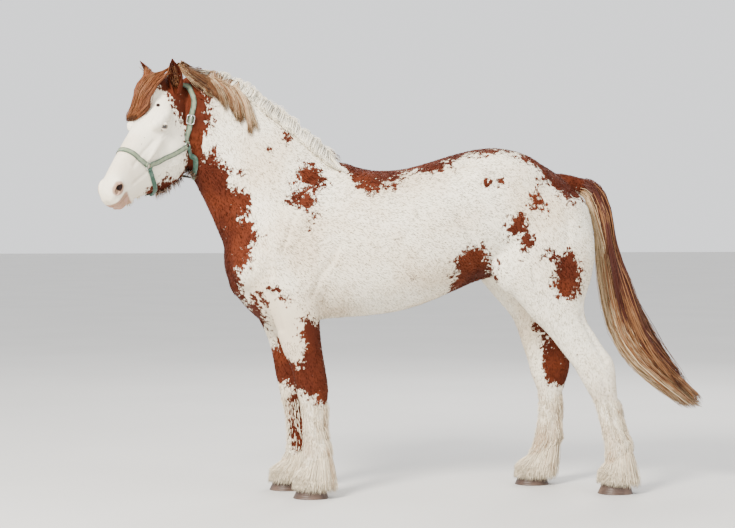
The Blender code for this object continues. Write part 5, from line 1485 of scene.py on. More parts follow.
def skin_material(colours):
    material, tree = new_material("skin")
    place = own_place(tree)
    colour, _, hairs = coat_colour(tree, place, colours)
    mottle = noise(tree, place, 42.0, 4.0).between(0.38, 0.56)
    bare = mottle.mix(colours.pink, colours.tan)
    bare_share = (value_of(tree, "bare") + (noise(tree, place, 30.0, 3.0) - 0.5) * 0.5).between(0.3, 0.75)
    colour = (bare_share * 0.85).mix(colour, bare)
    # Darkened by the deep value: the face's dark spots, painted shade inside the nostrils and darker rims of
    # the lids.
    colour = value_of(tree, "deep").between(0.2, 0.8).mix(colour, colours.dark)
    wrinkles = noise(tree, place, 160.0, 4.0, 0.6)
    fine = noise(tree, stretched(tree, place, (420.0, 420.0, 160.0)), 1.0, 3.0, 0.65)
    height = bare_share * wrinkles * 0.6 + fine * (1.0 - bare_share) + hairs * 0.4
    rough = 0.78 - bare_share * 0.25
    normal = bumped(tree, height, 0.6, 0.0022)
    finish_material(tree, Base_Color=colour, Roughness=rough, Normal=normal, Specular_IOR_Level=0.12)
    return material


def coat_material(colours):
    material, tree = new_material("coat")
    place = own_place(tree)
    colour, _, _ = coat_colour(tree, place, colours)
    shade = 0.93 + value_of(tree, "shade") * 0.14
    colour = colour * shade
    colour = (value_of(tree, "bare").between(0.35, 0.9) * 0.6).mix(colour, colours.pink)
    # Darkened by the deep value: the face's dark spots, painted shade inside the nostrils and darker rims of
    # the lids.
    colour = value_of(tree, "deep").between(0.2, 0.7).mix(colour, colours.dark)
    finish_material(tree, Base_Color=colour, Roughness=0.78, Specular_IOR_Level=0.08)
    return material


def hair_material(name, pale, middle, dark):
    """Long hair whose own tone runs from pale to dark, streaked along each strand."""
    material, tree = new_material(name)
    place = own_place(tree)
    tone = value_of(tree, "tone") + (noise(tree, place, 26.0, 3.0) - 0.5) * 0.35
    colour = tone.between(0.15, 0.62).mix(pale, middle)
    colour = tone.between(0.66, 0.98).mix(colour, dark)
    colour = colour * (0.80 + value_of(tree, "shade") * 0.34)
    streak = noise(tree, stretched(tree, place, (300.0, 300.0, 90.0)), 1.0, 2.0)
    normal = bumped(tree, streak, 0.35, 0.001)
    finish_material(tree, Base_Color=colour, Roughness=0.56, Specular_IOR_Level=0.35, Normal=normal)
    return material


def horn_material(colours):
    material, tree = new_material("horn")
    place = own_place(tree)
    waves = {"Vector": place, "Scale": 38.0, "Distortion": 1.6, "Detail": 2.0, "Detail Scale": 3.0}
    rings = make(tree, "ShaderNodeTexWave", {"bands_direction": "Z"}, waves, output=1)
    grain = noise(tree, stretched(tree, place, (220.0, 220.0, 16.0)), 1.0, 3.0)
    blotch = noise(tree, place, 18.0, 3.0).between(0.35, 0.68)
    colour = blotch.mix(colours.horn, colours.pale_horn)
    colour = (grain.between(0.5, 0.75) * 0.5).mix(colour, colours.dark_horn)
    height = rings * 0.6 + grain * 0.4
    finish_material(tree, Base_Color=colour, Roughness=0.5, Normal=bumped(tree, height, 0.5, 0.0012))
    return material


def eye_material(colours):
    material, tree = new_material("eye")
    across = value_of(tree, "pupil")
    rim = value_of(tree, "rim")
    fibres = noise(tree, stretched(tree, own_place(tree), (420.0, 420.0, 420.0)), 1.0, 3.0)
    iris = fibres.between(0.3, 0.7).mix(colours.iris, colours.dark_iris)
    colour = across.between(0.35, 0.6).mix(iris, (0.004, 0.004, 0.006))
    colour = rim.between(0.35, 0.7).mix(colour, (0.42, 0.30, 0.26))
    finish_material(tree, Base_Color=colour, Roughness=0.06, Coat_Weight=1.0, Coat_Roughness=0.03)
    return material


def webbing_material(name, middle, edge):
    """Woven webbing, with edges of their own colour, a rib along each and a weave of small blocks."""
    material, tree = new_material(name)
    across, along = value_of(tree, "across"), value_of(tree, "run")
    from_middle = make(tree, "ShaderNodeMath", {"operation": "ABSOLUTE"}, {0: across})
    weft = make(tree, "ShaderNodeMath", {"operation": "SINE"}, {0: along * 2900.0})
    warp = make(tree, "ShaderNodeMath", {"operation": "SINE"}, {0: across * 34.0})
    worn = noise(tree, own_place(tree), 60.0, 4.0).between(0.4, 0.75)
    colour = from_middle.between(0.22, 0.34).mix(middle, edge)
    colour = (worn * 0.35).mix(colour, tuple(0.6 * value + 0.25 for value in middle))
    colour = colour * (0.9 + weft * warp * 0.12)
    rib = from_middle.between(0.45, 0.55) * 0.5 + weft * warp * 0.25
    normal = bumped(tree, rib, 0.6, 0.0006)
    finish_material(tree, Base_Color=colour, Roughness=0.82, Sheen_Weight=0.2, Normal=normal)
    return material


def metal_material(colours):
    material, tree = new_material("hardware")
    place = own_place(tree)
    dull = noise(tree, place, 90.0, 4.0)
    worn = tuple(value * 0.6 for value in colours.metal)
    colour = dull.between(0.45, 0.8).mix(colours.metal, worn)
    rough = 0.18 + dull.between(0.3, 0.8) * 0.25
    normal = bumped(tree, dull, 0.15, 0.0004)
    finish_material(tree, Base_Color=colour, Metallic=1.0, Roughness=rough, Normal=normal)
    return material


def floor_material(colours):
    material, tree = new_material("floor")
    place = make(tree, "ShaderNodeTexCoord", {}, {}, output=3)
    grain = noise(tree, place, 60.0, 4.0)
    shade = tuple(0.96 * value for value in colours.floor)
    colour = noise(tree, place, 0.8, 3.0).between(0.3, 0.7).mix(colours.floor, shade)
    finish_material(tree, Base_Color=colour, Roughness=0.85, Normal=bumped(tree, grain, 0.05, 0.001))
    return material


# Sizes and colours

def size(name, description, default):
    return FloatProperty(name=name, description=description, default=default, unit="LENGTH", min=0.0)


def number(name, description, default):
    return IntProperty(name=name, description=description, default=default, min=1)


def paint(name, description, default):
    return FloatVectorProperty(name=name, description=description, default=default, subtype="COLOR", size=3,
                               min=0.0, max=1.0)


class HorseSizes(bpy.types.PropertyGroup):
    """Sizes and counts of the pieces."""

    grain: size("Grain", "Grain of the skin while its parts are fused", 0.0048)
    smoothing: number("Smoothing", "Rounds of smoothing of the trunk and neck", 90)
    skin_triangles: number("Skin triangles", "Triangles kept in the skin", 175000)
    coat_depth: size("Coat depth", "How far the skin lies under the tips of the short hair", 0.0035)
    tufts: number("Tufts", "Tufts of short hair over the whole body", 132000)
    tuft_length: size("Tuft length", "Length of a tuft on the trunk", 0.017)
    tuft_width: size("Tuft width", "Width of a tuft on the trunk", 0.0042)
    mane_strands: number("Mane strands", "Strands in the long part of the mane", 3000)
    mane_points: number("Mane points", "Points along a strand of the mane", 9)
    mane_width: size("Mane width", "Width of a strand of the mane", 0.0052)
    forelock_strands: number("Forelock strands", "Strands in the forelock", 1700)
    tail_strands: number("Tail strands", "Strands in the tail", 3200)
    tail_points: number("Tail points", "Points along a strand of the tail", 10)
    tail_width: size("Tail width", "Width of a strand of the tail", 0.0062)
    feather_strands: number("Feather strands", "Strands round each fetlock", 2600)
    cannon_strands: number("Cannon strands", "Strands round each cannon", 900)
    feather_points: number("Feather points", "Points along a strand of the feather", 6)
    feather_width: size("Feather width", "Width of a strand of the feather", 0.0040)
    jaw_strands: number("Jaw strands", "Strands under the jaw", 1100)
    ear_strands: number("Ear strands", "Strands in each ear", 90)


class HorseColours(bpy.types.PropertyGroup):
    """Colours of the coat, hair, horn, eyes and halter."""

    white: paint("White", "White hair", (0.93, 0.86, 0.71))
    cream: paint("Cream", "Yellowed white hair", (0.74, 0.62, 0.46))
    sorrel: paint("Sorrel", "Red hair", (0.062, 0.0110, 0.0038))
    bright_sorrel: paint("Bright sorrel", "Red hair where it is lighter", (0.104, 0.021, 0.0070))
    dark_sorrel: paint("Dark sorrel", "Red hair where it is darker", (0.028, 0.0060, 0.0032))
    pink: paint("Pink skin", "Bare skin round the nostrils and lids", (0.40, 0.195, 0.140))
    tan: paint("Tan skin", "Mottling of the bare skin", (0.30, 0.15, 0.080))
    # Dark skin: the face's dark spots, and also painted shade inside the nostrils and on the rims of the lids.
    dark: paint("Dark skin", "Insides of the nostrils and dark spots", (0.016, 0.008, 0.007))
    flaxen: paint("Flaxen", "Palest hair of the mane and tail", (0.58, 0.43, 0.26))
    ginger: paint("Ginger hair", "Middle tone of the forelock", (0.165, 0.048, 0.012))
    tan_hair: paint("Tan hair", "Middle tone of the mane and tail", (0.22, 0.095, 0.035))
    brown_hair: paint("Brown hair", "Darkest hair of the mane and tail", (0.060, 0.018, 0.009))
    feather: paint("Feather", "Palest hair of the feather", (0.82, 0.71, 0.53))
    feather_tan: paint("Feather tan", "Stained hair of the feather", (0.40, 0.27, 0.16))
    horn: paint("Horn", "Horn of the hooves", (0.060, 0.033, 0.023))
    pale_horn: paint("Pale horn", "Horn where it is paler", (0.11, 0.065, 0.046))
    dark_horn: paint("Dark horn", "Horn where it is darker", (0.08, 0.05, 0.04))
    iris: paint("Iris", "Iris of the eyes", (0.050, 0.024, 0.012))
    dark_iris: paint("Dark iris", "Darker fibres of the iris", (0.014, 0.008, 0.006))
    web: paint("Webbing", "Middle of the webbing", (0.175, 0.215, 0.130))
    web_edge: paint("Webbing edge", "Edges of the webbing", (0.034, 0.070, 0.040))
    # Painted shade: a darker copy of the webbing, for the straps under the jaw.
    web_dark: paint("Dark webbing", "Webbing under the chin", (0.022, 0.085, 0.052))
    metal: paint("Metal", "Rings and buckle", (0.72, 0.72, 0.70))
    floor: paint("Floor", "Floor of the stage", (0.62, 0.61, 0.59))


def horse_sizes():
    return bpy.context.scene.horse_sizes


def horse_colours():
    """The colours as plain tuples."""
    group = bpy.context.scene.horse_colours
    return SimpleNamespace(**{name: tuple(getattr(group, name)) for name in HorseColours.__annotations__})


# Pieces

def learn_skin(skin):
    """Keeps the skin's surface, unwrap, markings and painted nostril shade for the pieces that grow on it."""
    mesh = skin.data
    places, outward = places_of(mesh), ways_out(mesh)
    triangles = np.empty(len(mesh.polygons) * 3, np.int32)
    mesh.polygons.foreach_get("vertices", triangles)
    triangles = triangles.reshape(-1, 3)
    flat = unwrap(places, triangles)
    tree = BVHTree.FromPolygons([tuple(row) for row in places], triangles.tolist())
    store.update(tree=tree, outward=outward, triangles=triangles, flat=flat)
    store.update(corners=places[triangles], head_tree=head_tree(skin))
    store.update(red=red_at(places), bare=bare_at(places), deep=spots_and_shade_at(places))
    give_uv(mesh, flat)
    for name in ("red", "bare", "deep"):
        give_values(mesh, name, store[name])


class HORSE_OT_skin(bpy.types.Operator):
    """Models the skin in one piece, with folds, lids, ears, nostrils and mouth"""

    bl_idname = "horse.skin"
    bl_label = "Skin"

    def execute(self, context):
        sizes = horse_sizes()
        skin = fused_flesh(sizes)
        press_creases(skin, sizes.coat_depth)
        make_coarser(skin, sizes.skin_triangles)
        model_head(skin)
        soften_features(skin)
        learn_skin(skin)
        finish_piece(skin, FLESH_NODES, skin_material(horse_colours()))
        return {"FINISHED"}


def grow_tufts(draw, count, sizes):
    """Roots and tips of short tufts, spread over the skin, and what each takes from its root."""
    corners, triangles = store["corners"], store["triangles"]
    areas = np.linalg.norm(np.cross(corners[:, 1] - corners[:, 0], corners[:, 2] - corners[:, 0]), axis=1)
    middles = corners.mean(axis=1)
    scale = sizes_of_hair(middles)
    areas = areas / scale**1.3 * (store["bare"][triangles].mean(axis=1) < 0.7)
    chosen = draw.choice(len(areas), count, p=areas / areas.sum())
    shares = draw.dirichlet((1.0, 1.0, 1.0), count)[:, :, None]
    root = (corners[chosen] * shares).sum(axis=1)
    outward = unit((store["outward"][triangles[chosen]] * shares).sum(axis=1))
    way = lies(root) + draw.normal(0, 0.16, (count, 3))
    way = unit(way - outward * (way * outward).sum(axis=1)[:, None])
    scale = scale[chosen] * draw.uniform(0.7, 1.15, count)
    lift = np.radians(draw.uniform(6.0, 15.0, count))[:, None]
    length = (sizes.tuft_length * scale)[:, None]
    tip = root + way * length * np.cos(lift) + outward * length * np.sin(lift)
    paths = np.stack((root - outward * 0.0012, tip), axis=1)
    spots = (store["flat"][chosen] * shares).sum(axis=1)
    # Each tuft takes its root's red, bare skin and dark values; the dark ones hold the face's spots and
    # painted nostril shade.
    at_root = {
        name: (store[name][triangles[chosen]] * shares[:, :, 0]).sum(axis=1)
        for name in ("red", "bare", "deep")
    }
    return paths, sizes.tuft_width * scale, outward, spots, at_root


class HORSE_OT_coat(bpy.types.Operator):
    """Grows the short hair in tufts that lie with the coat"""

    bl_idname = "horse.coat"
    bl_label = "Short coat"

    def execute(self, context):
        sizes = horse_sizes()
        draw = np.random.default_rng(SEED)
        material = coat_material(horse_colours())
        for piece, done in enumerate(range(0, sizes.tufts, TUFTS_A_PIECE)):
            count = min(sizes.tufts - done, TUFTS_A_PIECE)
            paths, widths, facing, spots, at_root = grow_tufts(draw, count, sizes)
            obj, own = strand_mesh(f"coat_{piece}", paths, widths, facing, 0.35, (1.0, 1.0))
            dress_strands(obj, own, count, 2, {**at_root, "shade": draw.uniform(0, 1, count)}, spots)
            finish_piece(obj, (), material)
        return {"FINISHED"}


class HORSE_OT_mane(bpy.types.Operator):
    """Grows the long, short and standing parts of the mane"""

    bl_idname = "horse.mane"
    bl_label = "Mane"

    def execute(self, context):
        sizes, colours = horse_sizes(), horse_colours()
        draw = np.random.default_rng(SEED + 1)
        material = hair_material("mane", colours.flaxen, colours.tan_hair, colours.brown_hair)
        upright = hair_material("short_mane", colours.white, colours.flaxen, colours.sorrel)
        for name, share, *part in MANE_PARTS:
            strands = int(share * sizes.mane_strands)
            paths, facing, root, tone = mane_part(draw, strands, *part, sizes)
            t = np.linspace(0, 1, paths.shape[1])
            paths[:, 1:] = keep_off_skin(paths[:, 1:], np.tile(0.002 + 0.003 * t[1:], (strands, 1)))
            short = name in ("mane_short", "mane_crest")
            if short:
                tone = 0.5 * tone * (0.3 + 0.7 * ease(root, 0.60, 0.75)) + 0.9 * (red_at(paths[:, 2]) > 0.62)
            widths = sizes.mane_width * draw.uniform(0.6, 1.1, strands)
            values = {"tone": tone, "shade": draw.uniform(0, 1, strands)}
            hair_object(name, paths, widths, facing, values, upright if short else material)
        return {"FINISHED"}


class HORSE_OT_forelock(bpy.types.Operator):
    """Grows the forelock, combed over the forehead to the right, and the hair in the ears"""

    bl_idname = "horse.forelock"
    bl_label = "Forelock"

    def execute(self, context):
        sizes, colours = horse_sizes(), horse_colours()
        draw = np.random.default_rng(SEED + 2)
        count = sizes.forelock_strands
        paths, facing, tone = forelock_paths(draw, count, sizes)
        material = hair_material("forelock", colours.tan_hair, colours.ginger, colours.sorrel)
        values = {"tone": tone, "shade": draw.uniform(0, 1, count)}
        widths = sizes.mane_width * draw.uniform(0.5, 0.9, count)
        hair_object("forelock", paths, widths, facing, values, material)
        pale = hair_material("fine_hair", colours.feather, colours.tan_hair, colours.brown_hair)
        fine = {"ear_hair": ear_hair(draw, sizes), "jaw_hair": jaw_hair(draw, sizes)}
        for name, (paths, facing, tone) in fine.items():
            values = {"tone": tone, "shade": draw.uniform(0, 1, len(paths))}
            widths = np.full(len(paths), FINE_HAIR_WIDTH)
            hair_object(name, paths, widths, facing, values, pale)
        return {"FINISHED"}


def forelock_paths(draw, count, sizes):
    """Strands that start between the ears and lie over the forehead."""
    locks = FORELOCK_LOCKS
    groups = draw.integers(0, locks, count)
    row = draw.uniform(-1, 1, locks)[groups] + draw.normal(0, 0.12, count)
    spread = np.stack((draw.normal(0, 0.010, count), FORELOCK_SPREAD * row, np.full(count, 0.02)), axis=1)
    root = np.array(FORELOCK_ROOT) + spread
    share = np.clip(0.5 + 0.5 * row + draw.uniform(-0.35, 0.35, count), 0, 1)[:, None]
    tip = np.array(FORELOCK_TIP) * (1 - share) + np.array(FORELOCK_INNER_TIP) * share
    tip = tip + draw.normal(0, 0.010, (count, 3))
    tip[:, 0] -= draw.uniform(0, 0.05, count) * draw.uniform(0, 1, count)
    turn = np.array(FORELOCK_TURN) * (1 - share) + np.array(FORELOCK_INNER_TURN) * share
    guess = bent(root, turn, tip, sizes.mane_points)
    guess[:, :, 2] += 0.08
    t = np.linspace(0, 1, sizes.mane_points)
    world = out_of_head(guess)
    at, outward, _ = nearest_skin(world.reshape(-1, 3))
    lift = np.sin(np.pi * np.clip(0.10 + t * 0.82, 0, 1)) ** 0.7 * (t > 0) - 0.08 * (t == 0)
    layer = draw.uniform(0.12, 1.0, locks)[groups] * draw.uniform(0.4, 1.05, count)
    height = FORELOCK_LIFT * layer[:, None] * lift[None]
    paths = at.reshape(world.shape) + outward.reshape(world.shape) * height[:, :, None]
    paths = wave(draw_in(paths, groups, 0.40), draw, 0.005)
    tone = np.clip(0.50 + draw.uniform(-0.28, 0.22, locks)[groups] + draw.normal(0, 0.10, count), 0, 1)
    # A band of paler strands down the middle of the forelock is a painted highlight.
    pale = np.abs(row - 0.1) < 0.10
    facing = np.repeat(np.array(HEAD_FRAME.to_3x3() @ Vector((0, -0.25, 1)))[None], count, 0)
    return paths, facing, tone - 0.12 * pale


def ear_hair(draw, sizes):
    """Pale hair that stands in the mouths of the ears."""
    made = []
    count = sizes.ear_strands
    for side in HEAD_SIDES.values():
        mirrored = np.array((1, side, 1))
        root, tip = np.array(EAR_ROOT) * mirrored, np.array(EAR_TIP) * mirrored
        axis = (tip - root) / np.linalg.norm(tip - root)
        opening = np.array(EAR_OPENING) * mirrored
        opening = unit(opening - axis * (opening @ axis))
        across = np.cross(axis, opening)
        share = draw.uniform(0.12, 0.72, count)[:, None]
        spread = draw.uniform(-1, 1, count)[:, None]
        back = opening * (EAR_CUP - 0.010 * spread**2)
        start = root + (tip - root) * share + across * spread * 0.020 - back
        rise = axis * draw.uniform(0.016, 0.036, (count, 1))
        end = start + rise + opening * draw.uniform(0.010, 0.022, (count, 1))
        t = np.linspace(0, 1, 4)[None, :, None]
        made.append(start[:, None] * (1 - t) + end[:, None] * t - across * (spread * 0.008)[:, None] * t**2)
    paths = out_of_head(np.concatenate(made))
    count = len(paths)
    facing = np.repeat(np.array(HEAD_FRAME.to_3x3() @ Vector((1, 0, 0.3)))[None], count, 0)
    return wave(paths, draw, 0.003), facing, draw.uniform(0.55, 1.0, count)


def jaw_hair(draw, sizes):
    """The ragged fringe under the jaw, and a few hairs on the chin."""
    count = sizes.jaw_strands
    under_jaw = draw.uniform(0, 1, count) < 0.9
    along = np.where(under_jaw, draw.uniform(0.05, 0.44, count), draw.uniform(0.5, 0.62, count))
    sideways = draw.uniform(-0.075, 0.075, count)
    start = np.stack((along, sideways, np.where(along < 0.48, -0.37, -0.24)), axis=1)
    at, outward, _ = nearest_skin(out_of_head(start))
    length = draw.uniform(0.012, 0.038, count)
    length = np.where(along > 0.48, length * 0.4, length)
    back = np.array(HEAD_FRAME.to_3x3() @ Vector((0.75, 0, -0.15)))
    t = np.linspace(0, 1, 4)[None, :, None]
    way = outward * 0.75 + back[None] * 0.8 + draw.normal(0, 0.18, (count, 3))
    paths = at[:, None] - outward[:, None] * 0.002 + way[:, None] * t * length[:, None, None]
    tone = np.clip(0.62 + draw.normal(0, 0.28, count), 0, 1) * (along < 0.48) + 0.1
    return wave(paths, draw, 0.002), outward, tone


class HORSE_OT_tail(bpy.types.Operator):
    """Grows the tail from the dock to its blown tip"""

    bl_idname = "horse.tail"
    bl_label = "Tail"

    def execute(self, context):
        sizes, colours = horse_sizes(), horse_colours()
        draw = np.random.default_rng(SEED + 3)
        count, locks = sizes.tail_strands, TAIL_LOCKS
        groups = draw.integers(0, locks, count)
        place = draw.uniform(0, 1, locks)[groups]
        lock_round = draw.uniform(0, math.tau, locks)
        rounds = lock_round[groups] + draw.normal(0, 0.22, count)
        start = np.clip(0.40 * place**1.4 + draw.normal(0, 0.02, count), 0.0, 0.5)
        end = 0.60 + 0.40 * place**0.7 - 0.10 * ease(np.cos(lock_round), 0.2, 1.0)[groups]
        end = np.clip(end + draw.normal(0, 0.03, locks)[groups] - draw.exponential(0.05, count), 0.40, 1.0)
        t = np.linspace(0, 1, sizes.tail_points)
        shares = start[:, None] + (end - start)[:, None] * t[None]
        drift = draw.uniform(-0.25, 0.25, locks)[groups]
        depth = np.sqrt(draw.uniform(0.02, 1.0, locks))[groups] * draw.uniform(0.75, 1.12, count)
        rooted = np.array([0.82] + [1.0] * (len(t) - 1))
        depths = depth[:, None] * (1.05 - 0.15 * t[None]) * rooted[None]
        paths = place_on_tail(shares, rounds[:, None] + drift[:, None] * t[None], depths)
        paths = paths + wave(np.zeros((locks, *paths.shape[1:])), draw, 0.030)[groups] * LOOSE
        paths = wave(draw_in(paths, groups, 0.38), draw, 0.013)
        facing = np.stack((np.cos(rounds) * 0.8, np.sin(rounds), np.cos(rounds) * 0.5), axis=1)
        tone = tail_tone(draw, paths, groups, locks, rounds)
        material = hair_material("tail", colours.flaxen, colours.tan_hair, colours.sorrel)
        values = {"tone": tone, "shade": draw.uniform(0, 1, count)}
        widths = sizes.tail_width * draw.uniform(0.6, 1.15, count)
        hair_object("tail_hair", paths, widths, facing, values, material, ("tail",))
        return {"FINISHED"}


def tail_tone(draw, paths, groups, locks, rounds):
    """Pale in front and inside, red along the back and over the dock."""
    tone = 0.44 + 0.32 * np.cos(rounds) + draw.normal(0, 0.13, locks)[groups]
    tone = tone + draw.normal(0, 0.15, len(paths))
    arch = ease(paths[:, 3, 2], 1.20, 1.40) * ease(np.cos(rounds), -0.2, 0.6)
    low = 1 - ease(paths[:, -1, 2], 0.55, 1.10)
    return np.clip(tone + 0.30 * arch + 0.22 * low, 0, 1)


class HORSE_OT_feather(bpy.types.Operator):
    """Grows the feather round the fetlocks and behind the cannons"""

    bl_idname = "horse.feather"
    bl_label = "Feather"

    def execute(self, context):
        sizes, colours = horse_sizes(), horse_colours()
        draw = np.random.default_rng(SEED + 4)
        material = hair_material("feather", colours.feather, colours.feather_tan, colours.tan_hair)
        for pair, side in TOES:
            paths, facing = feather_paths(draw, pair, side, sizes.feather_strands, sizes)
            more, more_facing = cannon_paths(draw, pair, side, sizes.cannon_strands, sizes)
            paths, facing = np.concatenate((paths, more)), np.concatenate((facing, more_facing))
            paths[:, :, 2] = np.maximum(paths[:, :, 2], FEATHER_LOWEST)
            count = len(paths)
            behind = ease(facing[:, 0], 0.0, 0.9)
            tone = np.clip(draw.normal(0.10, 0.12, count) + 0.30 * behind * draw.uniform(0, 1, count), 0, 1)
            widths = sizes.feather_width * draw.uniform(0.5, 1.1, count)
            values = {"tone": tone, "shade": draw.uniform(0, 1, count)}
            hair_object(f"feather_{pair}_{side}", paths, widths, facing, values, material)
        return {"FINISHED"}


def hoof_rings(pair, side):
    """Rings from the sole to the coronet, with growth rings, a sloping toe and a level heel."""
    toe, y = TOES[pair, side]
    rings = []
    for row in range(HOOF_ROWS + 1):
        share = row / HOOF_ROWS
        ripple = HOOF_RIPPLE * math.sin(share * 46.0)
        front = toe + TOE_SLOPE * share
        back = toe + HOOF_LENGTH - HEEL_SLOPE * share
        half_width = HOOF_HALF_WIDTH + (CORONET_HALF_WIDTH - HOOF_HALF_WIDTH) * share + ripple
        half = (back - front) / 2 + ripple
        ring = []
        for sideways, up in oval(half, half, half_width, 2.1, 2.5, 48):
            lean = 0.5 + 0.5 * up / half
            top = CORONET_BACK + (CORONET_FRONT - CORONET_BACK) * lean
            ring.append(Vector(((front + back) / 2 - up, y + sideways, top * share)))
        rings.append(ring)
    return rings


class HORSE_OT_hooves(bpy.types.Operator):
    """Models the four hooves"""

    bl_idname = "horse.hooves"
    bl_label = "Hooves"

    def execute(self, context):
        material = horn_material(horse_colours())
        for pair, side in TOES:
            obj = swept_object(f"horn_{pair}_{side}", hoof_rings(pair, side))
            finish_piece(obj, (f"hoof_{pair}_{side}",), material)
        return {"FINISHED"}


class HORSE_OT_eyes(bpy.types.Operator):
    """Models the eyes, with an iris and a wide level pupil"""

    bl_idname = "horse.eyes"
    bl_label = "Eyes"

    def execute(self, context):
        material = eye_material(horse_colours())
        for name, side in HEAD_SIDES.items():
            middle = store[f"eye_{name}"]
            shape = bmesh.new()
            add_ball(shape, (*middle, *[EYE_RADIUS] * 3, 0.0, 0.0), HEAD_FRAME, both=False)
            edges = shape.edges[:]
            bmesh.ops.subdivide_edges(shape, edges=edges, cuts=1, use_grid_fill=True, smooth=1.0)
            obj = object_from(f"eyeball_{name}", shape)
            places = in_head(places_of(obj.data)) - np.array(middle)
            places = unit(places) * EYE_RADIUS
            own = places @ np.array(eye_axes(side))
            toward = unit(own) @ np.array((0.0, side, 0.0))
            bulge = ease(toward, *[math.cos(math.radians(angle)) for angle in CORNEA_ANGLES])
            rim = ease(toward, *[math.cos(math.radians(angle)) for angle in RIM_ANGLES])
            move_points(obj.data, out_of_head(places * (1 + CORNEA * bulge)[:, None] + np.array(middle)))
            slant = np.hypot(own[:, 0] / PUPIL_SIZE[0], own[:, 2] / PUPIL_SIZE[1])
            give_values(obj.data, "pupil", np.where(toward > 0, np.clip(1.5 - slant, 0, 1), 0))
            give_values(obj.data, "rim", 1 - rim)
            finish_piece(obj, (f"eye_{name}",), material)
        return {"FINISHED"}


# Halter

def lie_on(place, standoff):
    """The point at a standoff from the skin nearest to a place, and the way out of the skin there."""
    skin, facing = store["head_tree"].find_nearest(place)[:2]
    outward = (Vector(place) - skin).normalized()
    if outward.dot(facing) < 0:
        outward.negate()
    return skin + outward * standoff, outward


def laid_strap(places, left_out):
    """Points and outward directions of a strap that lies on the head through places, less its two ends."""
    laid = [lie_on(row, STRAP_LIFT) for row in in_between(places, 14)]
    for _ in range(4):
        inner = [((a[0] + b[0] * 2 + c[0]) / 4, (a[1] + b[1] * 2 + c[1]).normalized())
                 for a, b, c in zip(laid, laid[1:], laid[2:])]
        laid = [laid[0], *inner, laid[-1]]
    first, last = laid[0][0], laid[-1][0]
    return [row for row in laid if (row[0] - first).length >= left_out and (row[0] - last).length >= left_out]


def strap_section(width, thickness):
    """Points (across, up) of a flat section with round edges."""
    made = []
    for i in range(STRAP_POINTS):
        angle = math.tau * i / STRAP_POINTS
        c, s = math.cos(angle), math.sin(angle)
        across = math.copysign(abs(c) ** 0.35, c) * width / 2
        made.append((across, (1 + math.copysign(abs(s) ** 0.6, s)) * thickness / 2))
    return made


def strap_object(name, laid):
    """A flat strap along laid points, twice as thick where it is folded back and sewn at its ends."""
    lengths = [0.0]
    for a, b in zip(laid, laid[1:]):
        lengths.append(lengths[-1] + (b[0] - a[0]).length)
    rings, across_values, run_values = [], [], []
    for i, (point, outward) in enumerate(laid):
        along = laid[min(i + 1, len(laid) - 1)][0] - laid[max(i - 1, 0)][0]
        across = along.cross(outward).normalized()
        from_end = min(lengths[i], lengths[-1] - lengths[i])
        thick = STRAP_THICKNESS * (2 if from_end < SEWN_LENGTH else 1)
        section = strap_section(STRAP_WIDTH, thick)
        rings.append([HEAD_FRAME @ (point + across * sideways + outward * up) for sideways, up in section])
        across_values.append([sideways / STRAP_WIDTH for sideways, _ in section])
        run_values.append([lengths[i]] * len(section))
    return swept_object(name, rings, {"across": across_values, "run": run_values})


def wire_hoop(radius):
    """A hoop of round wire in the plane of X and Y, turned from one small circle."""
    shape = bmesh.new()
    turned = Matrix.Translation((radius, 0, 0)) @ Matrix.Rotation(math.pi / 2, 4, "X")
    profile = bmesh.ops.create_circle(shape, segments=14, radius=RING_WIRE, matrix=turned)["verts"]
    edges = edges_at(profile)
    round_z = {"cent": (0, 0, 0), "axis": (0, 0, 1), "angle": math.tau, "steps": 40}
    bmesh.ops.spin(shape, geom=profile + edges, use_merge=True, **round_z)
    return shape


def lay_flat(shape, middle, outward, along):
    """Turns a shape from the plane of X and Y so that it lies on the head, with X along."""
    across = outward.cross(along).normalized()
    along = across.cross(outward).normalized()
    place = Matrix((along, across, outward)).transposed().to_4x4()
    place.translation = middle
    bmesh.ops.transform(shape, matrix=HEAD_FRAME @ place, verts=shape.verts)


def buckle_shape():
    """A squared frame of wire, with a tongue over it."""
    shape = wire_hoop(1.0)
    for vertex in shape.verts:
        spoke = Vector((vertex.co.x, vertex.co.y, 0))
        c, s = spoke.normalized().x, spoke.normalized().y
        reach = (abs(c / BUCKLE_SIZE[0]) ** 5 + abs(s / BUCKLE_SIZE[1]) ** 5) ** -0.2
        vertex.co = spoke.normalized() * (reach + spoke.length - 1.0) + Vector((0, 0, vertex.co.z))
    half = BUCKLE_SIZE[0]
    tongue = []
    for i in range(9):
        x = -half + 2.1 * half * i / 8
        lift = 0.0036 * math.sin(math.pi * min(i / 7, 1.0)) + 0.0012
        wire = oval(0.0017, 0.0017, 0.0017, points=10)
        tongue.append([Vector((x, sideways, lift + up)) for sideways, up in wire])
    sweep(shape, tongue)
    return shape


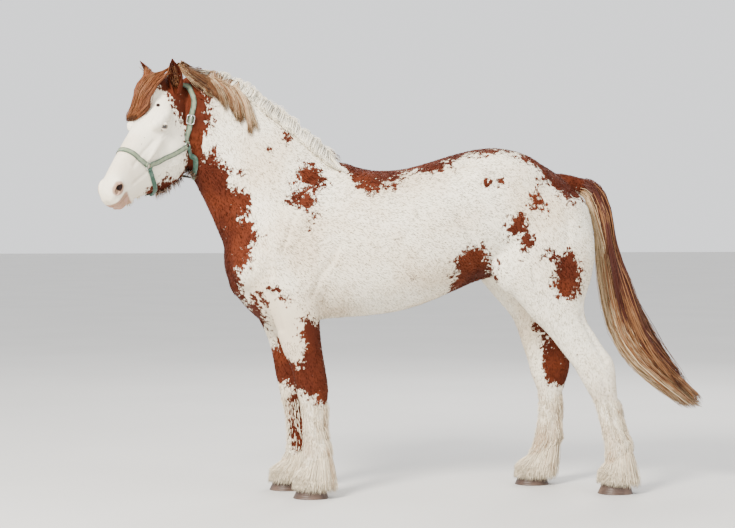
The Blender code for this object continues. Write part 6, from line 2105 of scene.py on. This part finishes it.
def add_loops(name, ring_places):
    """Webbing folded round each ring's wire, where a strap meets it."""
    shape = bmesh.new()
    for middle, outward, way in ring_places:
        across = outward.cross(way).normalized()
        centre = middle + way * RING_RADIUS
        rings, reach = [], RING_WIRE + STRAP_THICKNESS * 0.9
        shares = [(i / LOOP_STEPS - 0.5) * 0.98 for i in range(LOOP_STEPS + 1)]
        for i in range(LOOP_STEPS + 1):
            sideways = across * STRAP_WIDTH * (i / LOOP_STEPS - 0.5) * 0.98
            bow = way * -0.0038 * (2 * i / LOOP_STEPS - 1) ** 2
            middle_of_ring = centre + sideways + bow
            ring = oval(reach, reach, reach * 1.15, points=LOOP_POINTS)
            rings.append([HEAD_FRAME @ (middle_of_ring + way * out + outward * up) for out, up in ring])
        values = [[share] * LOOP_POINTS for share in shares]
        runs = [[0.0] * LOOP_POINTS for _ in shares]
        sweep(shape, rings, {"across": values, "run": runs})
    bmesh.ops.triangulate(shape, faces=shape.faces)
    return object_from(name, shape)


def to_side(place, side):
    return (place[0], place[1] * side, place[2])


def whole_strap(half):
    """Places from the left half's start over the middle to the right."""
    return [*half, *[to_side(place, -1) for place in reversed(half[:-1])]]


def strap_places():
    """Each strap's name with the places that it goes through."""
    made = {
        "halter_noseband": whole_strap([SIDE_RING, *NOSEBAND]),
        "halter_crown": whole_strap([UPPER_RING, *CROWN_STRAP]),
        "halter_throat": whole_strap([UPPER_RING, *THROAT_STRAP]),
    }
    for name, side in HEAD_SIDES.items():
        made[f"halter_cheek_{name}"] = [to_side(row, side) for row in (UPPER_RING, *CHEEK_STRAP, SIDE_RING)]
        made[f"halter_chin_{name}"] = [to_side(row, side) for row in (SIDE_RING, *CHIN_STRAP, CHIN_RING)]
    return made


def ring_places():
    made = {"chin": CHIN_RING}
    for name, side in HEAD_SIDES.items():
        made[f"side_{name}"] = to_side(SIDE_RING, side)
        made[f"upper_{name}"] = to_side(UPPER_RING, side)
    return made


class HORSE_OT_halter(bpy.types.Operator):
    """Lays the webbing halter on the head, with its rings and buckle"""

    bl_idname = "horse.halter"
    bl_label = "Halter"

    def execute(self, context):
        colours = horse_colours()
        web = webbing_material("webbing", colours.web, colours.web_edge)
        # A darker copy of the webbing, as painted shade, for the straps under the jaw.
        dark = webbing_material("dark_webbing", colours.web_dark, colours.web_dark)
        metal = metal_material(colours)
        ends = []
        for name, places in strap_places().items():
            laid = laid_strap(places, RING_RADIUS + 0.001)
            obj = strap_object(f"{name}_web", laid)
            # Straps under the jaw take the darker webbing, painted shade.
            finish_piece(obj, (name,), dark if name in SHADED_STRAPS else web)
            ends += [(name, places[0], laid[0]), (name, places[-1], laid[-1])]
        self.add_rings(metal)
        self.add_folds(ends, web, dark)
        middle, outward = lie_on(BUCKLE, STRAP_LIFT + STRAP_THICKNESS + RING_WIRE * 0.8)
        shape = buckle_shape()
        lay_flat(shape, middle, outward, Vector(CROWN_STRAP[1]) - Vector(UPPER_RING))
        finish_piece(object_from("buckle_metal", shape), ("halter_buckle",), metal)
        return {"FINISHED"}

    def add_rings(self, metal):
        for name, place in ring_places().items():
            middle, outward = lie_on(place, RING_WIRE + RING_LIFT)
            shape = wire_hoop(RING_RADIUS)
            lay_flat(shape, middle, outward, Vector((1.0, 0.0, 0.0)))
            finish_piece(object_from(f"ring_{name}", shape), (f"halter_ring_{name}",), metal)

    def add_folds(self, ends, web, dark):
        # Folds round the rings for the straps under the jaw take the darker webbing, painted shade.
        for name, material, chosen in (("folds", web, False), ("dark_folds", dark, True)):
            rows = []
            for strap, place, (point, _) in ends:
                if (strap in SHADED_STRAPS) != chosen:
                    continue
                middle, outward = lie_on(place, RING_WIRE + RING_LIFT)
                way = point - middle
                way = (way - outward * way.dot(outward)).normalized()
                rows.append((middle, outward, way))
            finish_piece(add_loops(name, rows), (), material)


# Stage

def add_light(name, place, target, power, width, colour):
    light = bpy.data.lights.new(name, "AREA")
    light.shape = "DISK"
    light.size = width
    light.energy = power
    light.color = colour
    obj = bpy.data.objects.new(name, light)
    obj.location = place
    obj.rotation_euler = (Vector(target) - Vector(place)).to_track_quat("-Z", "Y").to_euler()
    collection_of("stage").objects.link(obj)


class HORSE_OT_stage(bpy.types.Operator):
    """Sets up the floor, the lights and the camera"""

    bl_idname = "horse.stage"
    bl_label = "Stage"

    def execute(self, context):
        shape = bmesh.new()
        bmesh.ops.create_grid(shape, x_segments=1, y_segments=1, size=FLOOR_SIZE)
        floor = object_from("floor", shape)
        floor.data.materials.append(floor_material(horse_colours()))
        for row in LIGHTS:
            add_light(*row)
        world = bpy.data.worlds.new("surroundings")
        world.use_nodes = True
        world.node_tree.nodes["Background"].inputs["Color"].default_value = (*SKY_COLOUR, 1.0)
        world.node_tree.nodes["Background"].inputs["Strength"].default_value = SKY_STRENGTH
        context.scene.world = world
        self.add_camera(context)
        return {"FINISHED"}

    def add_camera(self, context):
        lens = bpy.data.cameras.new("camera")
        lens.sensor_width = SENSOR_WIDTH
        lens.lens = SENSOR_WIDTH * FOCAL_PIXELS / PICTURE_WIDTH
        lens.clip_end = 200.0
        camera = bpy.data.objects.new("camera", lens)
        turn = math.atan(AIM_ACROSS / FOCAL_PIXELS)
        tilt = math.atan(AIM_DOWN / FOCAL_PIXELS)
        around = math.radians(CAMERA_ROUND)
        place = Vector((CAMERA_AWAY * math.sin(around), -CAMERA_AWAY * math.cos(around), CAMERA_HEIGHT))
        camera.location = place + SHIFT
        camera.rotation_euler = (math.pi / 2 - tilt, 0.0, around + turn)
        collection_of("stage").objects.link(camera)
        context.scene.camera = camera


class HORSE_PT_pieces(bpy.types.Panel):
    """Lists the pieces, in the order in which they are built"""

    bl_idname = "HORSE_PT_pieces"
    bl_label = "Heavy horse"
    bl_space_type = "VIEW_3D"
    bl_region_type = "UI"
    bl_category = "Horse"

    def draw(self, context):
        for piece in PIECES:
            self.layout.operator(piece.bl_idname)
        for group in (context.scene.horse_sizes, context.scene.horse_colours):
            column = self.layout.column()
            for name in type(group).__annotations__:
                column.prop(group, name)


PIECES = (
    HORSE_OT_skin, HORSE_OT_coat, HORSE_OT_mane, HORSE_OT_forelock, HORSE_OT_tail, HORSE_OT_feather,
    HORSE_OT_hooves, HORSE_OT_eyes, HORSE_OT_halter, HORSE_OT_stage,
)
CLASSES = (HorseSizes, HorseColours, *PIECES, HORSE_PT_pieces)


def register():
    for item in CLASSES:
        bpy.utils.register_class(item)
    bpy.types.Scene.horse_sizes = PointerProperty(type=HorseSizes)
    bpy.types.Scene.horse_colours = PointerProperty(type=HorseColours)


def unregister():
    del bpy.types.Scene.horse_colours
    del bpy.types.Scene.horse_sizes
    for item in reversed(CLASSES):
        bpy.utils.unregister_class(item)


def main():
    register()
    bpy.ops.horse.skin()
    bpy.ops.horse.coat()
    bpy.ops.horse.mane()
    bpy.ops.horse.forelock()
    bpy.ops.horse.tail()
    bpy.ops.horse.feather()
    bpy.ops.horse.hooves()
    bpy.ops.horse.eyes()
    bpy.ops.horse.halter()
    bpy.ops.horse.stage()


if __name__ == "__main__":
    main()
